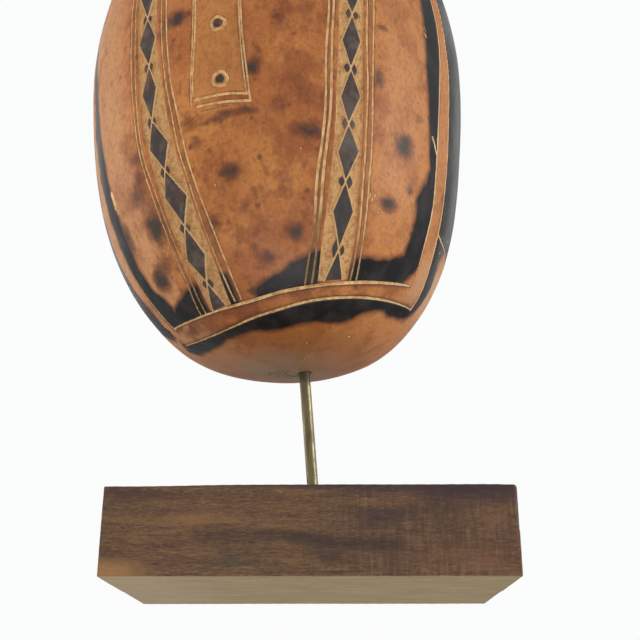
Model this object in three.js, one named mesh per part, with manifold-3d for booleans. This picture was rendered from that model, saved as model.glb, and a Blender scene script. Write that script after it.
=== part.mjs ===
// A gourd guiro that hangs on a thin brass rod standing in a wooden block.
// Units are millimetres, +Z is up, the front (rasp side) faces -Y.
// Origin: centre of the block's underside.
import * as THREE from 'three';
import { mergeVertices } from 'three/addons/utils/BufferGeometryUtils.js';
import Module from 'manifold-3d';

const wasm = await Module();
wasm.setup();

// ---------------------------------------------------------------- dimensions
const BLOCK_WIDTH = 116; // X
const BLOCK_DEPTH = 72.2; // Y
const BLOCK_HEIGHT = 25.2; // Z
const BLOCK_CORNER = 1.2; // corner radius of the extruded outline, before its bevel
const BLOCK_EDGE = 0.7; // rounding of the top and bottom edges

const ROD_RADIUS = 3.65 / 2;
const ROD_X = 0.75; // where the rod's axis leaves the block's top face
const ROD_LEAN = -0.0757; // dx/dz of the rod's axis
const ROD_FOOT_Z = 5.6; // bottom end of the rod, inside the block
const ROD_SIDE_GAP = 0.3; // clearance round the rod in its holes
const ROD_END_GAP = 0.4; // clearance beyond each end of the rod
const ROD_FACETS = 24;

// "Height" on the gourd is measured up from its lowest point, which lies at GOURD_Z.
const GOURD_Z = 71.1;
const WALL = 5;
const OUTER_FACETS = 48;
const INNER_FACETS = 32;

// Outer half profile: height, radius.
const PROFILE = [
  [0, 0], [0.6, 9.3], [2.4, 18.8], [6, 29.8], [11.6, 38.6], [19, 45.3], [29, 52], [42, 57.9],
  [58, 62.2], [75, 64.8], [94, 66.6], [104, 67], [114, 66.8], [124, 65.8], [134, 64], [145, 61.2],
  [155, 57.9], [165, 53.9], [175, 49.4], [185, 44.7], [195, 40.2], [205, 36.1], [215, 32.6],
  [227, 29.4], [240, 27], [255, 25.2], [272, 24.1], [290, 23.7], [308, 23.9], [320, 23.8],
  [328, 22.4], [334, 19.6], [338, 15.6], [340.2, 11.2], [341, 8], [341, 0],
];
const GOURD_HEIGHT = PROFILE.at(-1)[0];
// Rows of PROFILE (counted from 0) that the coarser inside leaves out.
const INNER_SKIPPED_ROWS = [1, 7, 9, 11, 13, 15, 17, 19, 21, 23, 29, 33, 34];

// Centre line: height, X. The first and last rows only set the slopes at the ends.
const CENTRE = [
  [-10, -9.1], [0, -9.2], [29, -10.4], [65, -12.2], [101, -12.9], [145, -13.1], [175, -13.7],
  [200, -14.9], [235, -17.6], [270, -20.7], [300, -22.9], [341, -26], [370, -28.2],
];

const NOTCH_COUNT = 24;
const NOTCH_FIRST = 176; // height of the lowest notch
const NOTCH_PITCH = 5;
const NOTCH_HALF_HEIGHT = 2; // along the wall
const NOTCH_DEPTH = 2.6; // into the wall, at the notch's upper end
const NOTCH_CUTTER_LENGTH = 80; // across the gourd's whole front
const NOTCH_TILT_REACH = 5; // the wall's tilt is taken this far above and below

const FINGER_RADIUS = 9.5;
const FINGER_HEIGHTS = [84, 144]; // thumb hole and finger hole, on the back
const FINGER_DRILL_LENGTH = 34;
const FINGER_FACETS = 28;
const FINGER_TILT_REACH = 6;

const STEM_GAP = 0.3; // between the gourd's top and the stem's foot
const STEM_BEND = 0.012; // shift towards -X per squared height above the stem's foot
const STEM_FACETS = 20;
// Stem half profile: height above its foot, radius.
const STEM_PROFILE = [
  [0, 0], [0, 7.2], [2.2, 6.6], [5.5, 5], [10, 4.3], [14, 4.5], [17, 5.3], [18.4, 4.6], [18.4, 0],
];

// Wooden seat inside the neck that the rod's tip stands in.
const SEAT_LOW = 298;
const SEAT_HIGH = 314;
const SEAT_GAP = 0.75; // between the seat and the inside of the shell
const ROD_TIP = 309; // height of the rod's tip

// -------------------------------------------------------------- mesh helpers
// Makes a closed solid: welds vertices, drops collapsed triangles, faces them outward.
function solid(geometry) {
  geometry.deleteAttribute('normal');
  geometry.deleteAttribute('uv');
  const welded = mergeVertices(geometry, 1e-4);
  const { position } = welded.attributes;
  const index = welded.index.array;
  const corner = (vertex) => new THREE.Vector3().fromBufferAttribute(position, vertex);
  const triangles = [];
  let volume = 0; // six times the signed volume
  for (let i = 0; i < index.length; i += 3) {
    const [a, b, c] = index.subarray(i, i + 3);
    if (a === b || b === c || c === a) continue;
    triangles.push(a, b, c);
    volume += corner(a).dot(corner(b).cross(corner(c)));
  }
  if (volume < 0) {
    for (let i = 0; i < triangles.length; i += 3) {
      [triangles[i], triangles[i + 1]] = [triangles[i + 1], triangles[i]];
    }
  }
  return new wasm.Manifold(new wasm.Mesh({
    numProp: 3,
    vertProperties: Float32Array.from(position.array),
    triVerts: Uint32Array.from(triangles),
  }));
}

function mesh({ name, body, color, roughness, metalness }) {
  const { vertProperties, triVerts } = body.getMesh();
  const geometry = new THREE.BufferGeometry();
  const position = new THREE.BufferAttribute(Float32Array.from(vertProperties), 3);
  geometry.setAttribute('position', position);
  geometry.setIndex(new THREE.BufferAttribute(Uint32Array.from(triVerts), 1));
  geometry.computeVertexNormals();

  const material = new THREE.MeshStandardMaterial({ color, roughness, metalness });
  material.name = `${name}_material`;
  const item = new THREE.Mesh(geometry, material);
  item.name = name;
  return item;
}

// ------------------------------------------------------------- gourd's curves
// X of the centre line: a cubic Hermite curve through CENTRE.
function centreX(height) {
  let i = 1;
  while (i < CENTRE.length - 3 && height > CENTRE[i + 1][0]) i += 1;
  const [startHeight, startX] = CENTRE[i];
  const [endHeight, endX] = CENTRE[i + 1];
  const span = endHeight - startHeight;
  const t = (height - startHeight) / span;
  const tangent = (row) => {
    const [before, after] = [CENTRE[row - 1], CENTRE[row + 1]];
    return ((after[1] - before[1]) / (after[0] - before[0])) * span;
  };
  return (2 * t ** 3 - 3 * t ** 2 + 1) * startX
    + (t ** 3 - 2 * t ** 2 + t) * tangent(i)
    + (3 * t ** 2 - 2 * t ** 3) * endX
    + (t ** 3 - t ** 2) * tangent(i + 1);
}

function centreLean(height) {
  const reach = 2;
  return Math.atan((centreX(height + reach) - centreX(height - reach)) / (2 * reach));
}

// Radius on the straight run between two rows of a half profile.
function radiusAt(profile, height) {
  const i = profile.findIndex(([rowHeight]) => rowHeight >= height);
  const [lowHeight, lowRadius] = profile[i - 1];
  const [highHeight, highRadius] = profile[i];
  const rise = highHeight - lowHeight;
  return lowRadius + ((highRadius - lowRadius) * (height - lowHeight)) / rise;
}

// Angle of the outer wall from the centre line, positive where it narrows upward.
function wallTilt(height, reach) {
  const narrowing = radiusAt(PROFILE, height - reach) - radiusAt(PROFILE, height + reach);
  return Math.atan(narrowing / (2 * reach));
}

// Moves each row but the first and last inward, square to the line through its neighbours.
function inset(profile, distance) {
  const rows = profile.slice(1, -1).map(([height, radius], i) => {
    const [before, after] = [profile[i], profile[i + 2]];
    const [rise, run] = [after[0] - before[0], after[1] - before[1]];
    const length = Math.hypot(rise, run);
    return [height + (distance * run) / length, radius - (distance * rise) / length];
  });
  return [[distance, 0], ...rows, [profile.at(-1)[0] - distance, 0]];
}

// -------------------------------------------------------------------- shapes
// Turns a half profile about a centre line that may bend along X.
function turned(profile, facets, centreAt, footZ) {
  const points = profile.map(([height, radius]) => new THREE.Vector2(radius, height));
  const lathe = new THREE.LatheGeometry(points, facets);
  lathe.rotateX(Math.PI / 2);
  const { position } = lathe.attributes;
  for (let i = 0; i < position.count; i += 1) {
    const height = position.getZ(i);
    const x = position.getX(i) + centreAt(height);
    position.setXYZ(i, x, position.getY(i), height + footZ);
  }
  return solid(lathe);
}

const turnedInGourd = (profile, facets) => turned(profile, facets, centreX, GOURD_Z);

// A round bar on the rod's axis, between two heights above the ground.
function bar(radius, lowZ, highZ) {
  const axisPoint = (z) => new THREE.Vector3(ROD_X + ROD_LEAN * (z - BLOCK_HEIGHT), 0, z);
  const [low, high] = [axisPoint(lowZ), axisPoint(highZ)];
  const up = new THREE.Vector3(0, 1, 0);
  const direction = new THREE.Vector3(ROD_LEAN, 0, 1).normalize();
  const cylinder = new THREE.CylinderGeometry(radius, radius, low.distanceTo(high), ROD_FACETS);
  cylinder.applyQuaternion(new THREE.Quaternion().setFromUnitVectors(up, direction));
  cylinder.translate(...low.add(high).multiplyScalar(0.5).toArray());
  return solid(cylinder);
}

const rodHole = (lowZ, highZ) => bar(ROD_RADIUS + ROD_SIDE_GAP, lowZ, highZ);

// ---------------------------------------------------------------------- base
// The outline is smaller by BLOCK_EDGE all round, which the bevel adds back.
function blockOutline() {
  const x = BLOCK_WIDTH / 2 - BLOCK_EDGE;
  const y = BLOCK_DEPTH / 2 - BLOCK_EDGE;
  const corner = BLOCK_CORNER;
  const outline = new THREE.Shape();
  outline.moveTo(-x + corner, -y);
  outline.lineTo(x - corner, -y);
  outline.absarc(x - corner, -y + corner, corner, -Math.PI / 2, 0);
  outline.lineTo(x, y - corner);
  outline.absarc(x - corner, y - corner, corner, 0, Math.PI / 2);
  outline.lineTo(-x + corner, y);
  outline.absarc(-x + corner, y - corner, corner, Math.PI / 2, Math.PI);
  outline.lineTo(-x, -y + corner);
  outline.absarc(-x + corner, -y + corner, corner, Math.PI, 1.5 * Math.PI);
  return outline;
}

function baseBlock() {
  const form = new THREE.ExtrudeGeometry(blockOutline(), {
    depth: BLOCK_HEIGHT - 2 * BLOCK_EDGE,
    curveSegments: 3,
    bevelEnabled: true,
    bevelThickness: BLOCK_EDGE,
    bevelSize: BLOCK_EDGE,
    bevelSegments: 2,
  });
  form.translate(0, 0, BLOCK_EDGE);
  return solid(form).subtract(rodHole(ROD_FOOT_Z - ROD_END_GAP, BLOCK_HEIGHT + 4));
}

// --------------------------------------------------------------------- gourd
const innerProfile = inset(PROFILE.filter((row, i) => !INNER_SKIPPED_ROWS.includes(i)), WALL);

// A drill square to the back wall.
function fingerDrill(height) {
  const drill = new THREE.CylinderGeometry(
    FINGER_RADIUS,
    FINGER_RADIUS,
    FINGER_DRILL_LENGTH,
    FINGER_FACETS,
  );
  drill.rotateX(wallTilt(height, FINGER_TILT_REACH));
  drill.translate(centreX(height), radiusAt(PROFILE, height), GOURD_Z + height);
  return solid(drill);
}

// A triangular bar along X, point down. Its inner half cuts a saw-tooth notch in the front
// wall: a ramp that deepens upward to a ledge square to the wall.
function notchCutter(height) {
  const section = new THREE.Shape();
  section.moveTo(0, -NOTCH_HALF_HEIGHT);
  section.lineTo(NOTCH_DEPTH, NOTCH_HALF_HEIGHT);
  section.lineTo(-NOTCH_DEPTH, NOTCH_HALF_HEIGHT);
  section.closePath();
  const cutter = new THREE.ExtrudeGeometry(section, {
    depth: NOTCH_CUTTER_LENGTH,
    bevelEnabled: false,
  });
  cutter.translate(0, 0, -NOTCH_CUTTER_LENGTH / 2);
  cutter.rotateY(-Math.PI / 2); // length along X
  cutter.rotateX(Math.PI / 2 - wallTilt(height, NOTCH_TILT_REACH)); // flat side up the wall
  cutter.rotateY(centreLean(height));
  cutter.translate(centreX(height), -radiusAt(PROFILE, height), GOURD_Z + height);
  return solid(cutter);
}

function gourdShell() {
  let shell = turnedInGourd(PROFILE, OUTER_FACETS)
    .subtract(turnedInGourd(innerProfile, INNER_FACETS))
    .subtract(rodHole(GOURD_Z - 8, GOURD_Z + 14));
  for (const height of FINGER_HEIGHTS) shell = shell.subtract(fingerDrill(height));
  for (let i = 0; i < NOTCH_COUNT; i += 1) {
    shell = shell.subtract(notchCutter(NOTCH_FIRST + i * NOTCH_PITCH));
  }
  return shell;
}

function gourdStem() {
  const footX = centreX(GOURD_HEIGHT);
  const bend = (height) => footX - STEM_BEND * height ** 2;
  return turned(STEM_PROFILE, STEM_FACETS, bend, GOURD_Z + GOURD_HEIGHT + STEM_GAP);
}

function rodSeat() {
  const side = [SEAT_LOW, (SEAT_LOW + SEAT_HIGH) / 2, SEAT_HIGH]
    .map((height) => [height, radiusAt(innerProfile, height) - SEAT_GAP]);
  return turnedInGourd([[SEAT_LOW, 0], ...side, [SEAT_HIGH, 0]], INNER_FACETS)
    .subtract(rodHole(GOURD_Z + SEAT_LOW - 10, GOURD_Z + ROD_TIP + ROD_END_GAP));
}

// -------------------------------------------------------------------- object
const base = new THREE.Group();
base.add(
  mesh({
    name: 'base_block', body: baseBlock(), color: 0x6b5039, roughness: 0.75, metalness: 0,
  }),
  mesh({
    name: 'support_rod',
    body: bar(ROD_RADIUS, ROD_FOOT_Z, GOURD_Z + ROD_TIP),
    color: 0x8c7a4c,
    roughness: 0.35,
    metalness: 0.9,
  }),
);

const gourd = new THREE.Group();
gourd.add(
  mesh({
    name: 'gourd_shell', body: gourdShell(), color: 0xba7840, roughness: 0.5, metalness: 0,
  }),
  mesh({
    name: 'gourd_stem', body: gourdStem(), color: 0x6e5636, roughness: 0.85, metalness: 0,
  }),
  mesh({
    name: 'rod_seat', body: rodSeat(), color: 0xa98459, roughness: 0.8, metalness: 0,
  }),
);

const object = new THREE.Group();
object.add(base, gourd);

export default object;
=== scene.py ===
"""A carved gourd guiro standing on a brass rod in a walnut block.

Z is up and the floor is at Z = 0. The gourd's buttoned front faces -Y; left and right are as
seen from the front, so right is +X. Blender works in metres, the tables and meshes below in
millimetres. A place on the gourd's skin is (degrees from the front towards +X, height in mm
above the gourd's bottom); a "length" is the distance over the skin from the bottom's middle.
"""

import math
from itertools import product

import bpy
import numpy as np
from mathutils import Matrix, Vector


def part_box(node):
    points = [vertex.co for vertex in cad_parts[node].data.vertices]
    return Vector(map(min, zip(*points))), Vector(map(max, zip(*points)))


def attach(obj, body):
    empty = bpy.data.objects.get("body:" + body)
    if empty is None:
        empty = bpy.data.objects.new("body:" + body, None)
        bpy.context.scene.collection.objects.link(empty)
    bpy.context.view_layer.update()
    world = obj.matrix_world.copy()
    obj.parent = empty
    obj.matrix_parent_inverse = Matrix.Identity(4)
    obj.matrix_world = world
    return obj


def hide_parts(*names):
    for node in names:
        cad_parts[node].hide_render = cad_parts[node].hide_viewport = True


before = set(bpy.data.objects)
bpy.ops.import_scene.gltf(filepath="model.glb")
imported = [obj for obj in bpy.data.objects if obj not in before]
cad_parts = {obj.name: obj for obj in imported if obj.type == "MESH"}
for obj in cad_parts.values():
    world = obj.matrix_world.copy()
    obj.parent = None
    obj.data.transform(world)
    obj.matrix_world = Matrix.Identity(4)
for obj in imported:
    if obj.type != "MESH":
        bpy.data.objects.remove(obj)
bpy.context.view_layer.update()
SEED = 11
MILLI = 0.001  # metres in a millimetre

# ------------------------------------------------------------------ the gourd's form
GOURD_Z = 71.1  # its bottom above the floor
WALL = 5.0
BLOCK_HEIGHT = 25.2
ROD_X, ROD_LEAN = 0.75, -0.0757  # the rod's x at the block's top, and its change in x per mm up
ROD_RADIUS, ROD_GAP = 1.825, 0.3
HOLE_RADIUS = ROD_RADIUS + ROD_GAP
PROFILE = [  # height, radius
    (0, 0), (0.15, 4.61), (0.6, 9.27), (1.3, 13.73), (2.4, 18.82), (4, 24.46), (6, 29.78),
    (8.5, 34.53), (11.6, 38.56), (15, 41.95), (19, 45.33), (24, 48.95), (29, 51.97), (35, 54.99),
    (42, 57.85), (50, 60.32), (58, 62.16), (66, 63.57), (75, 64.8), (84, 65.77), (94, 66.6),
    (104, 67.03), (114, 66.81), (124, 65.77), (134, 63.96), (145, 61.16), (155, 57.78),
    (165, 53.8), (175, 49.4), (185, 44.82), (195, 40.33), (205, 36.19), (215, 32.61),
    (227, 29.26), (240, 26.84), (255, 25.24), (272, 24.24), (290, 23.68), (308, 23.84),
    (320, 23.8), (328, 22.4), (334, 19.6), (338, 15.6), (340.2, 11.2), (341, 8.0),
]
CENTRE = [  # height, x of the axis
    (0, -9.22), (29, -10.44), (65, -12.22), (101, -12.92), (145, -13.1), (175, -13.7),
    (200, -14.9), (235, -17.6), (270, -20.7), (300, -22.9), (341, -26),
]
GOURD_HEIGHT = PROFILE[-1][0]
NOTCHES, NOTCH_FIRST, NOTCH_PITCH = 24, 176.0, 5.0  # the rasp: count, lowest height, spacing
NOTCH_DEPTH, NOTCH_HALF = 2.0, 1.3
FINGER_HEIGHTS, FINGER_RADIUS = (84.0, 144.0), 9.5


def spline(knots, values):
    """Natural cubic spline through the points: returns f(query, slope=False)."""
    knots, values = np.asarray(knots, float), np.asarray(values, float)
    count, gap = len(knots), np.diff(knots)
    system, target = np.zeros((count, count)), np.zeros(count)
    system[0, 0] = system[-1, -1] = 1
    for i in range(1, count - 1):
        system[i, i - 1 : i + 2] = gap[i - 1], 2 * (gap[i - 1] + gap[i]), gap[i]
        rise_after = (values[i + 1] - values[i]) / gap[i]
        target[i] = 6 * (rise_after - (values[i] - values[i - 1]) / gap[i - 1])
    bend = np.linalg.solve(system, target)

    def evaluate(query, slope=False):
        query = np.asarray(query, float)
        i = np.clip(np.searchsorted(knots, query) - 1, 0, count - 2)
        past, ahead, width = query - knots[i], knots[i + 1] - query, gap[i]
        low = values[i] / width - bend[i] * width / 6
        high = values[i + 1] / width - bend[i + 1] * width / 6
        if slope:
            curve = -bend[i] * ahead**2 / (2 * width) + bend[i + 1] * past**2 / (2 * width)
            return curve - low + high
        curve = bend[i] * ahead**3 / (6 * width) + bend[i + 1] * past**3 / (6 * width)
        return curve + low * ahead + high * past

    return evaluate


def travelled(x, y):
    """Distance covered at each point of a polyline."""
    return np.r_[0, np.cumsum(np.hypot(np.diff(x), np.diff(y)))]


# The profile runs on past the axis by a few mirrored points, so that its bottom is level.
MIRRORED = 4
_knots = np.array([(s, -r) for s, r in PROFILE[MIRRORED:0:-1]] + PROFILE, float)
_chord = travelled(*_knots.T)
_samples = np.linspace(_chord[MIRRORED], _chord[-1], 12001)
SKIN_HEIGHT = np.maximum(spline(_chord, _knots[:, 0])(_samples), 0)
SKIN_RADIUS = np.maximum(spline(_chord, _knots[:, 1])(_samples), 0)
SKIN_LENGTH = travelled(SKIN_HEIGHT, SKIN_RADIUS)
SKIN_END = SKIN_LENGTH[-1]
RISE, SPREAD = np.gradient(SKIN_HEIGHT, SKIN_LENGTH), np.gradient(SKIN_RADIUS, SKIN_LENGTH)
_rising = np.maximum.accumulate(SKIN_HEIGHT + np.arange(len(SKIN_HEIGHT)) * 1e-9)
centre_x = spline([c[0] for c in CENTRE], [c[1] for c in CENTRE])


def height_at(length):
    return np.interp(length, SKIN_LENGTH, SKIN_HEIGHT)


def radius_at(length):
    return np.interp(length, SKIN_LENGTH, SKIN_RADIUS)


def length_at(height):
    return np.interp(height, _rising, SKIN_LENGTH)


def rod_x(z):
    return ROD_X + ROD_LEAN * (z - BLOCK_HEIGHT)


def wrapped(angle):
    """The angle brought into -180 to 180 degrees."""
    return (angle + 180) % 360 - 180


def surface(angle, length):
    """Points and outward normals of the skin, a little lumpy round the back."""
    angle, length = np.broadcast_arrays(np.asarray(angle, float), np.asarray(length, float))
    turn, height, radius = np.radians(angle), height_at(length), radius_at(length)
    lumps = np.clip(radius / 30, 0, 1) * np.clip((GOURD_HEIGHT - height) / 30, 0, 1)
    lumps = lumps * np.clip((np.abs(wrapped(angle)) - 92) / 35, 0, 1)
    radius = radius + lumps * (
        0.30 * np.sin(2 * turn + 0.8)
        + 0.18 * np.sin(3 * turn - height / 55 + 1.9)
        + 0.10 * np.sin(5 * turn + height / 33)
    )
    rise, spread = np.interp(length, SKIN_LENGTH, RISE), np.interp(length, SKIN_LENGTH, SPREAD)
    x = centre_x(height) + radius * np.sin(turn)
    points = np.stack([x, -radius * np.cos(turn), height + GOURD_Z], -1)
    normals = np.stack([rise * np.sin(turn), -rise * np.cos(turn), -spread], -1)
    return points, normals / np.linalg.norm(normals, axis=-1, keepdims=True)


# ------------------------------------------------------------------ noise
_random = np.random.default_rng(SEED)
SHUFFLED = np.tile(_random.permutation(256), 3).astype(np.int32)
GRADIENTS = _random.normal(size=(256, 3))
GRADIENTS /= np.linalg.norm(GRADIENTS, axis=1, keepdims=True)


def perlin(points):
    cell = np.floor(points).astype(np.int64)
    part = points - cell
    cell &= 255
    ease = part * part * part * (part * (part * 6 - 15) + 10)
    total = 0
    for corner in product((0, 1), repeat=3):
        pick = 0
        for axis in range(3):
            pick = SHUFFLED[pick + cell[:, axis] + corner[axis]]
        value = (GRADIENTS[pick] * (part - corner)).sum(1)
        total = total + np.where(corner, ease, 1 - ease).prod(1) * value
    return total * 1.6


def fractal(points, size, shift, octaves=2):
    """Noise of about -1 to 1. size is that of its largest features, in mm."""
    place, result, strength, total = np.asarray(points, float) / size + shift, 0, 1.0, 0
    for _ in range(octaves):
        result, total = result + strength * perlin(place), total + strength
        place, strength = place * 2.03 + 17.3, strength * 0.5
    return result / total


def smooth(value, start, stop):
    share = np.clip((value - start) / (stop - start), 0, 1)
    return share * share * (3 - 2 * share)


# ------------------------------------------------------------------ the engraving
# Lines are lists of (degrees from the front, height). A to D run from left to right.
TOP = 166.5  # the collar's lower ring, where the long lines end
RIGHT_A = [
    (13.6, TOP), (15.2, 140), (16.3, 118), (16.5, 100), (16.2, 91), (15.7, 80), (15.7, 66),
    (15.3, 58.5), (14.3, 49), (13.4, 42), (13.2, 36), (13, 27), (12.1, 20.7), (11.5, 14.2),
]
RIGHT_B = [
    (14.9, TOP), (16.5, 140), (17.6, 118), (17.8, 100), (17.5, 91), (17.3, 80.5), (17.2, 66.5),
    (16.8, 58.8), (15.8, 49.4), (15.2, 42.5), (15, 35.4), (14.7, 27), (14.5, 20), (14.3, 14.6),
]
RIGHT_GROUND = (  # left and right edges of the right band's lowered ground
    [(16.6, TOP), (18, 140), (19, 118), (19.2, 100), (19.2, 89.6), (19, 79), (18.6, 67),
     (18.3, 55.3), (17.6, 45.7), (17, 36.4), (16.3, 28), (16.2, 21.6), (16.6, 15)],
    [(24.4, TOP), (25.6, 140), (26.4, 118), (26.5, 103), (26.5, 85.5), (26.7, 69), (26.8, 59),
     (26.7, 49.7), (26.7, 44.5), (26.9, 38), (27.7, 30.3), (28.4, 22.3), (29.2, 16.6)],
)
RIGHT_C = [
    (25.8, TOP), (26.8, 140), (27.5, 118), (27.6, 103), (27.6, 86), (28, 73.4), (27.9, 61.5),
    (27.9, 50), (27.9, 44.8), (28.2, 38.2), (28.9, 30.5), (29.6, 23.2), (30.4, 16.8),
]
RIGHT_D = [
    (27.8, TOP), (28.8, 140), (29.5, 118), (29.7, 104), (29.5, 86.5), (29.6, 74), (29.8, 62),
    (29.9, 50.6), (29.9, 45.3), (30.2, 38.6), (30.8, 31), (31.8, 22.8), (33, 17.2),
]
LEFT_A = [
    (-40.2, TOP), (-41.9, 140), (-42.8, 118), (-42.7, 98), (-42.8, 87), (-42.7, 76),
    (-42.6, 67.5), (-42.3, 57), (-41.6, 50), (-40.8, 44), (-39.9, 35), (-39.5, 25),
    (-40.2, 16.7), (-43.2, 9.7),
]
LEFT_B = [
    (-38.6, TOP), (-40.3, 140), (-41.2, 118), (-41, 97), (-41.1, 86), (-41.2, 75), (-41.2, 65),
    (-40.9, 55.4), (-40.1, 49.6), (-39, 43), (-38, 34), (-37.5, 24), (-37.7, 16.6), (-39.6, 9.8),
]
LEFT_GROUND = (
    [(-37.6, TOP), (-39.2, 140), (-39.9, 118), (-39.8, 92), (-39.8, 83), (-39.7, 74.5),
     (-39.5, 66), (-39.1, 58), (-38.4, 52.5), (-37.8, 47.5), (-37.4, 41), (-36.9, 32.6),
     (-36, 26), (-35.3, 20), (-35, 15), (-36, 9.9)],
    [(-30.2, TOP), (-31.6, 140), (-32.5, 118), (-32.6, 100), (-32, 84), (-31, 76.8),
     (-30.1, 67), (-29.1, 57.4), (-28.1, 50.7), (-27.2, 46), (-26.3, 40), (-25.5, 33),
     (-24.6, 26.5), (-23.9, 21), (-23.4, 16), (-23.4, 10.2)],
)
LEFT_C = [
    (-28.9, TOP), (-30.3, 140), (-31.1, 118), (-31, 106), (-30.7, 92), (-30.3, 83),
    (-29.6, 74.5), (-28.6, 66), (-27.9, 58), (-27.1, 50.2), (-26.2, 45.6), (-25.3, 38.7),
    (-24.2, 30.7), (-23, 23.2), (-21.9, 16.1), (-20.9, 10.7),
]
LEFT_D = [
    (-27.1, TOP), (-28.5, 140), (-29.4, 118), (-29.3, 105), (-28.9, 91), (-28.5, 82.4),
    (-27.9, 74), (-26.7, 65.4), (-25.8, 57.3), (-25, 49.6), (-24.3, 45.1), (-23.2, 39),
    (-21.6, 31.4), (-20, 23.5), (-18.6, 16.5), (-17.4, 11),
]
# the button panel's double lines, left, right and along its foot
PANEL_LEFT_A = [(-18.6, TOP), (-20, 125), (-20.6, 101), (-20.8, 87), (-21.5, 76), (-21.9, 65)]
PANEL_LEFT_B = [(-17.8, TOP), (-19.3, 125), (-19.9, 101), (-20.1, 87), (-20.9, 76), (-21.2, 68)]
PANEL_RIGHT_A = [
    (-7.9, TOP), (-8.1, 125), (-7.8, 98.3), (-7.5, 89.7), (-7.1, 82.1), (-6.6, 74.7), (-5.9, 66.6),
]
PANEL_RIGHT_B = [
    (-7, TOP), (-7.3, 125), (-7.2, 98.3), (-6.9, 89.6), (-6.3, 81.2), (-5.6, 73), (-4.9, 63.9),
]
PANEL_FOOT_UPPER = [(-20.7, 66.6), (-15.8, 66.8), (-10.6, 66.9), (-5.9, 66.4)]
PANEL_FOOT_LOWER = [(-20.1, 64.3), (-15.9, 64.4), (-10.7, 64.4), (-4.9, 64)]
BUTTONS = [  # degrees, height, radius of the carved ring, radius of the burnt middle
    (-13.2, 148.0, 2.22, 1.56), (-13.4, 129.0, 2.22, 1.56), (-13.5, 110.0, 2.22, 1.56),
    (-13.4, 91.1, 2.22, 1.56), (-13.1, 72.0, 2.34, 1.46),
]
HEM_UPPER = [
    (-70.6, 10.6), (-60, 9.9), (-48.8, 9.5), (-33, 9.55), (-20, 10), (-8.4, 10.9), (1.3, 12.15),
    (11.5, 13.4), (21.9, 14.8), (30.3, 16), (38.9, 17.35), (47.5, 18.7), (62, 21.3),
]
HEM_LOWER = [
    (-80, 7.3), (-70, 6.4), (-57, 5.8), (-41.7, 5.7), (-24.5, 6.3), (-10.3, 7.4), (1, 8.5),
    (12.9, 10.2), (25.7, 11.85), (38.4, 13.4), (50.4, 14.7), (62, 15.9), (74.3, 17.3),
]
FLANK_LEFT_INNER = [
    (-61, TOP), (-66.5, 140), (-69.6, 115), (-70, 90), (-69.6, 60), (-69.4, 52), (-69.3, 42),
    (-69.9, 33), (-70.4, 24), (-70.2, 16), (-70.6, 10.2),
]
FLANK_LEFT_OUTER = [
    (-66, TOP), (-71.5, 140), (-74.7, 115), (-76, 90), (-77, 62), (-78.6, 50), (-79.3, 43),
    (-79.6, 32.5), (-79, 24.7), (-78, 17), (-77.6, 11.3), (-80, 7.4),
]
FLANK_RIGHT_INNER = [
    (44.5, TOP), (50.2, 140), (54.3, 120), (55.8, 111), (56.7, 101), (57, 92.6), (57, 79),
    (57.2, 65.7), (57.9, 54), (58.8, 46), (59.4, 38), (60.5, 30), (62, 23.4), (62, 21.3),
]
FLANK_RIGHT_OUTER = [
    (50, TOP), (55.5, 140), (59.2, 121), (61.4, 105), (62.9, 96.8), (63.6, 87.7), (64.2, 74.2),
    (64.8, 63.4), (65.2, 54.2), (65.6, 49), (66.3, 43), (66.8, 39.3), (67.7, 35.6), (69.5, 30.3),
    (72, 25.4), (74.2, 20.6), (74.3, 17.3),
]
ARC_RIGHT = [(67, 39.6), (71, 39.1), (76.5, 39), (84, 39.1), (96, 39), (108, 37.6), (118, 34.6)]
ARC_LEFT = [(-79.5, 30), (-88, 29.4), (-98, 29), (-108, 28), (-119, 26)]
# the back panel's double border
BACK_RIGHT_OUTER = [
    (104, TOP), (112, 140), (117, 115), (119, 90), (120, 62), (120, 45), (118, 34.6), (119, 26),
    (124, 20),
]
BACK_RIGHT_INNER = [
    (110, TOP), (118, 140), (123, 115), (125, 90), (126, 62), (126, 45), (125.5, 34), (127, 26),
    (131, 22.4),
]
BACK_LEFT_OUTER = [
    (-106, TOP), (-114, 140), (-119, 115), (-121, 90), (-122, 62), (-121.5, 45), (-120, 34),
    (-119, 26), (-124, 16.5),
]
BACK_LEFT_INNER = [
    (-112, TOP), (-120, 140), (-125, 115), (-127, 90), (-128, 62), (-128, 45), (-127, 34),
    (-127, 26), (-131, 19.5),
]
BACK_HEM_OUTER = [
    (124, 20), (140, 15.5), (160, 13.5), (180, 13.2), (200, 13), (220, 14), (236, 16.5),
]
BACK_HEM_INNER = [
    (131, 22.4), (145, 18.8), (162, 17), (180, 16.6), (198, 16.4), (215, 17.2), (229, 19.5),
]

# Each band's diamonds: the points where they touch, and each one's left and right corner
RIGHT_AXIS = [
    (19.6, TOP), (21.2, 152.2), (22.4, 133.7), (22.9, 115.2), (23, 96.4), (22.8, 77.4),
    (22.4, 59.2), (22.2, 41.7), (22.7, 23.5),
]
RIGHT_CORNERS = [
    ((17.2, 159.4), (22.6, 159.4)), ((18.9, 143), (24.6, 143)), ((19.7, 124.5), (25.6, 124.5)),
    ((20, 105.8), (25.8, 105.8)), ((20.1, 86.6), (25.7, 87.5)), ((19.8, 67.3), (26, 68.8)),
    ((19.3, 49.9), (26, 51.3)), ((18.8, 33), (25.9, 33.9)), ((19.3, 15.3), (26.9, 16.4)),
]
LEFT_AXIS = [
    (-34.1, TOP), (-35.4, 155.6), (-35.8, 137.4), (-36, 119.2), (-35.9, 101.1), (-35.4, 83.4),
    (-35.5, 64.6), (-33.3, 48), (-31.1, 31.1), (-30.4, 16.3),
]
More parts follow.
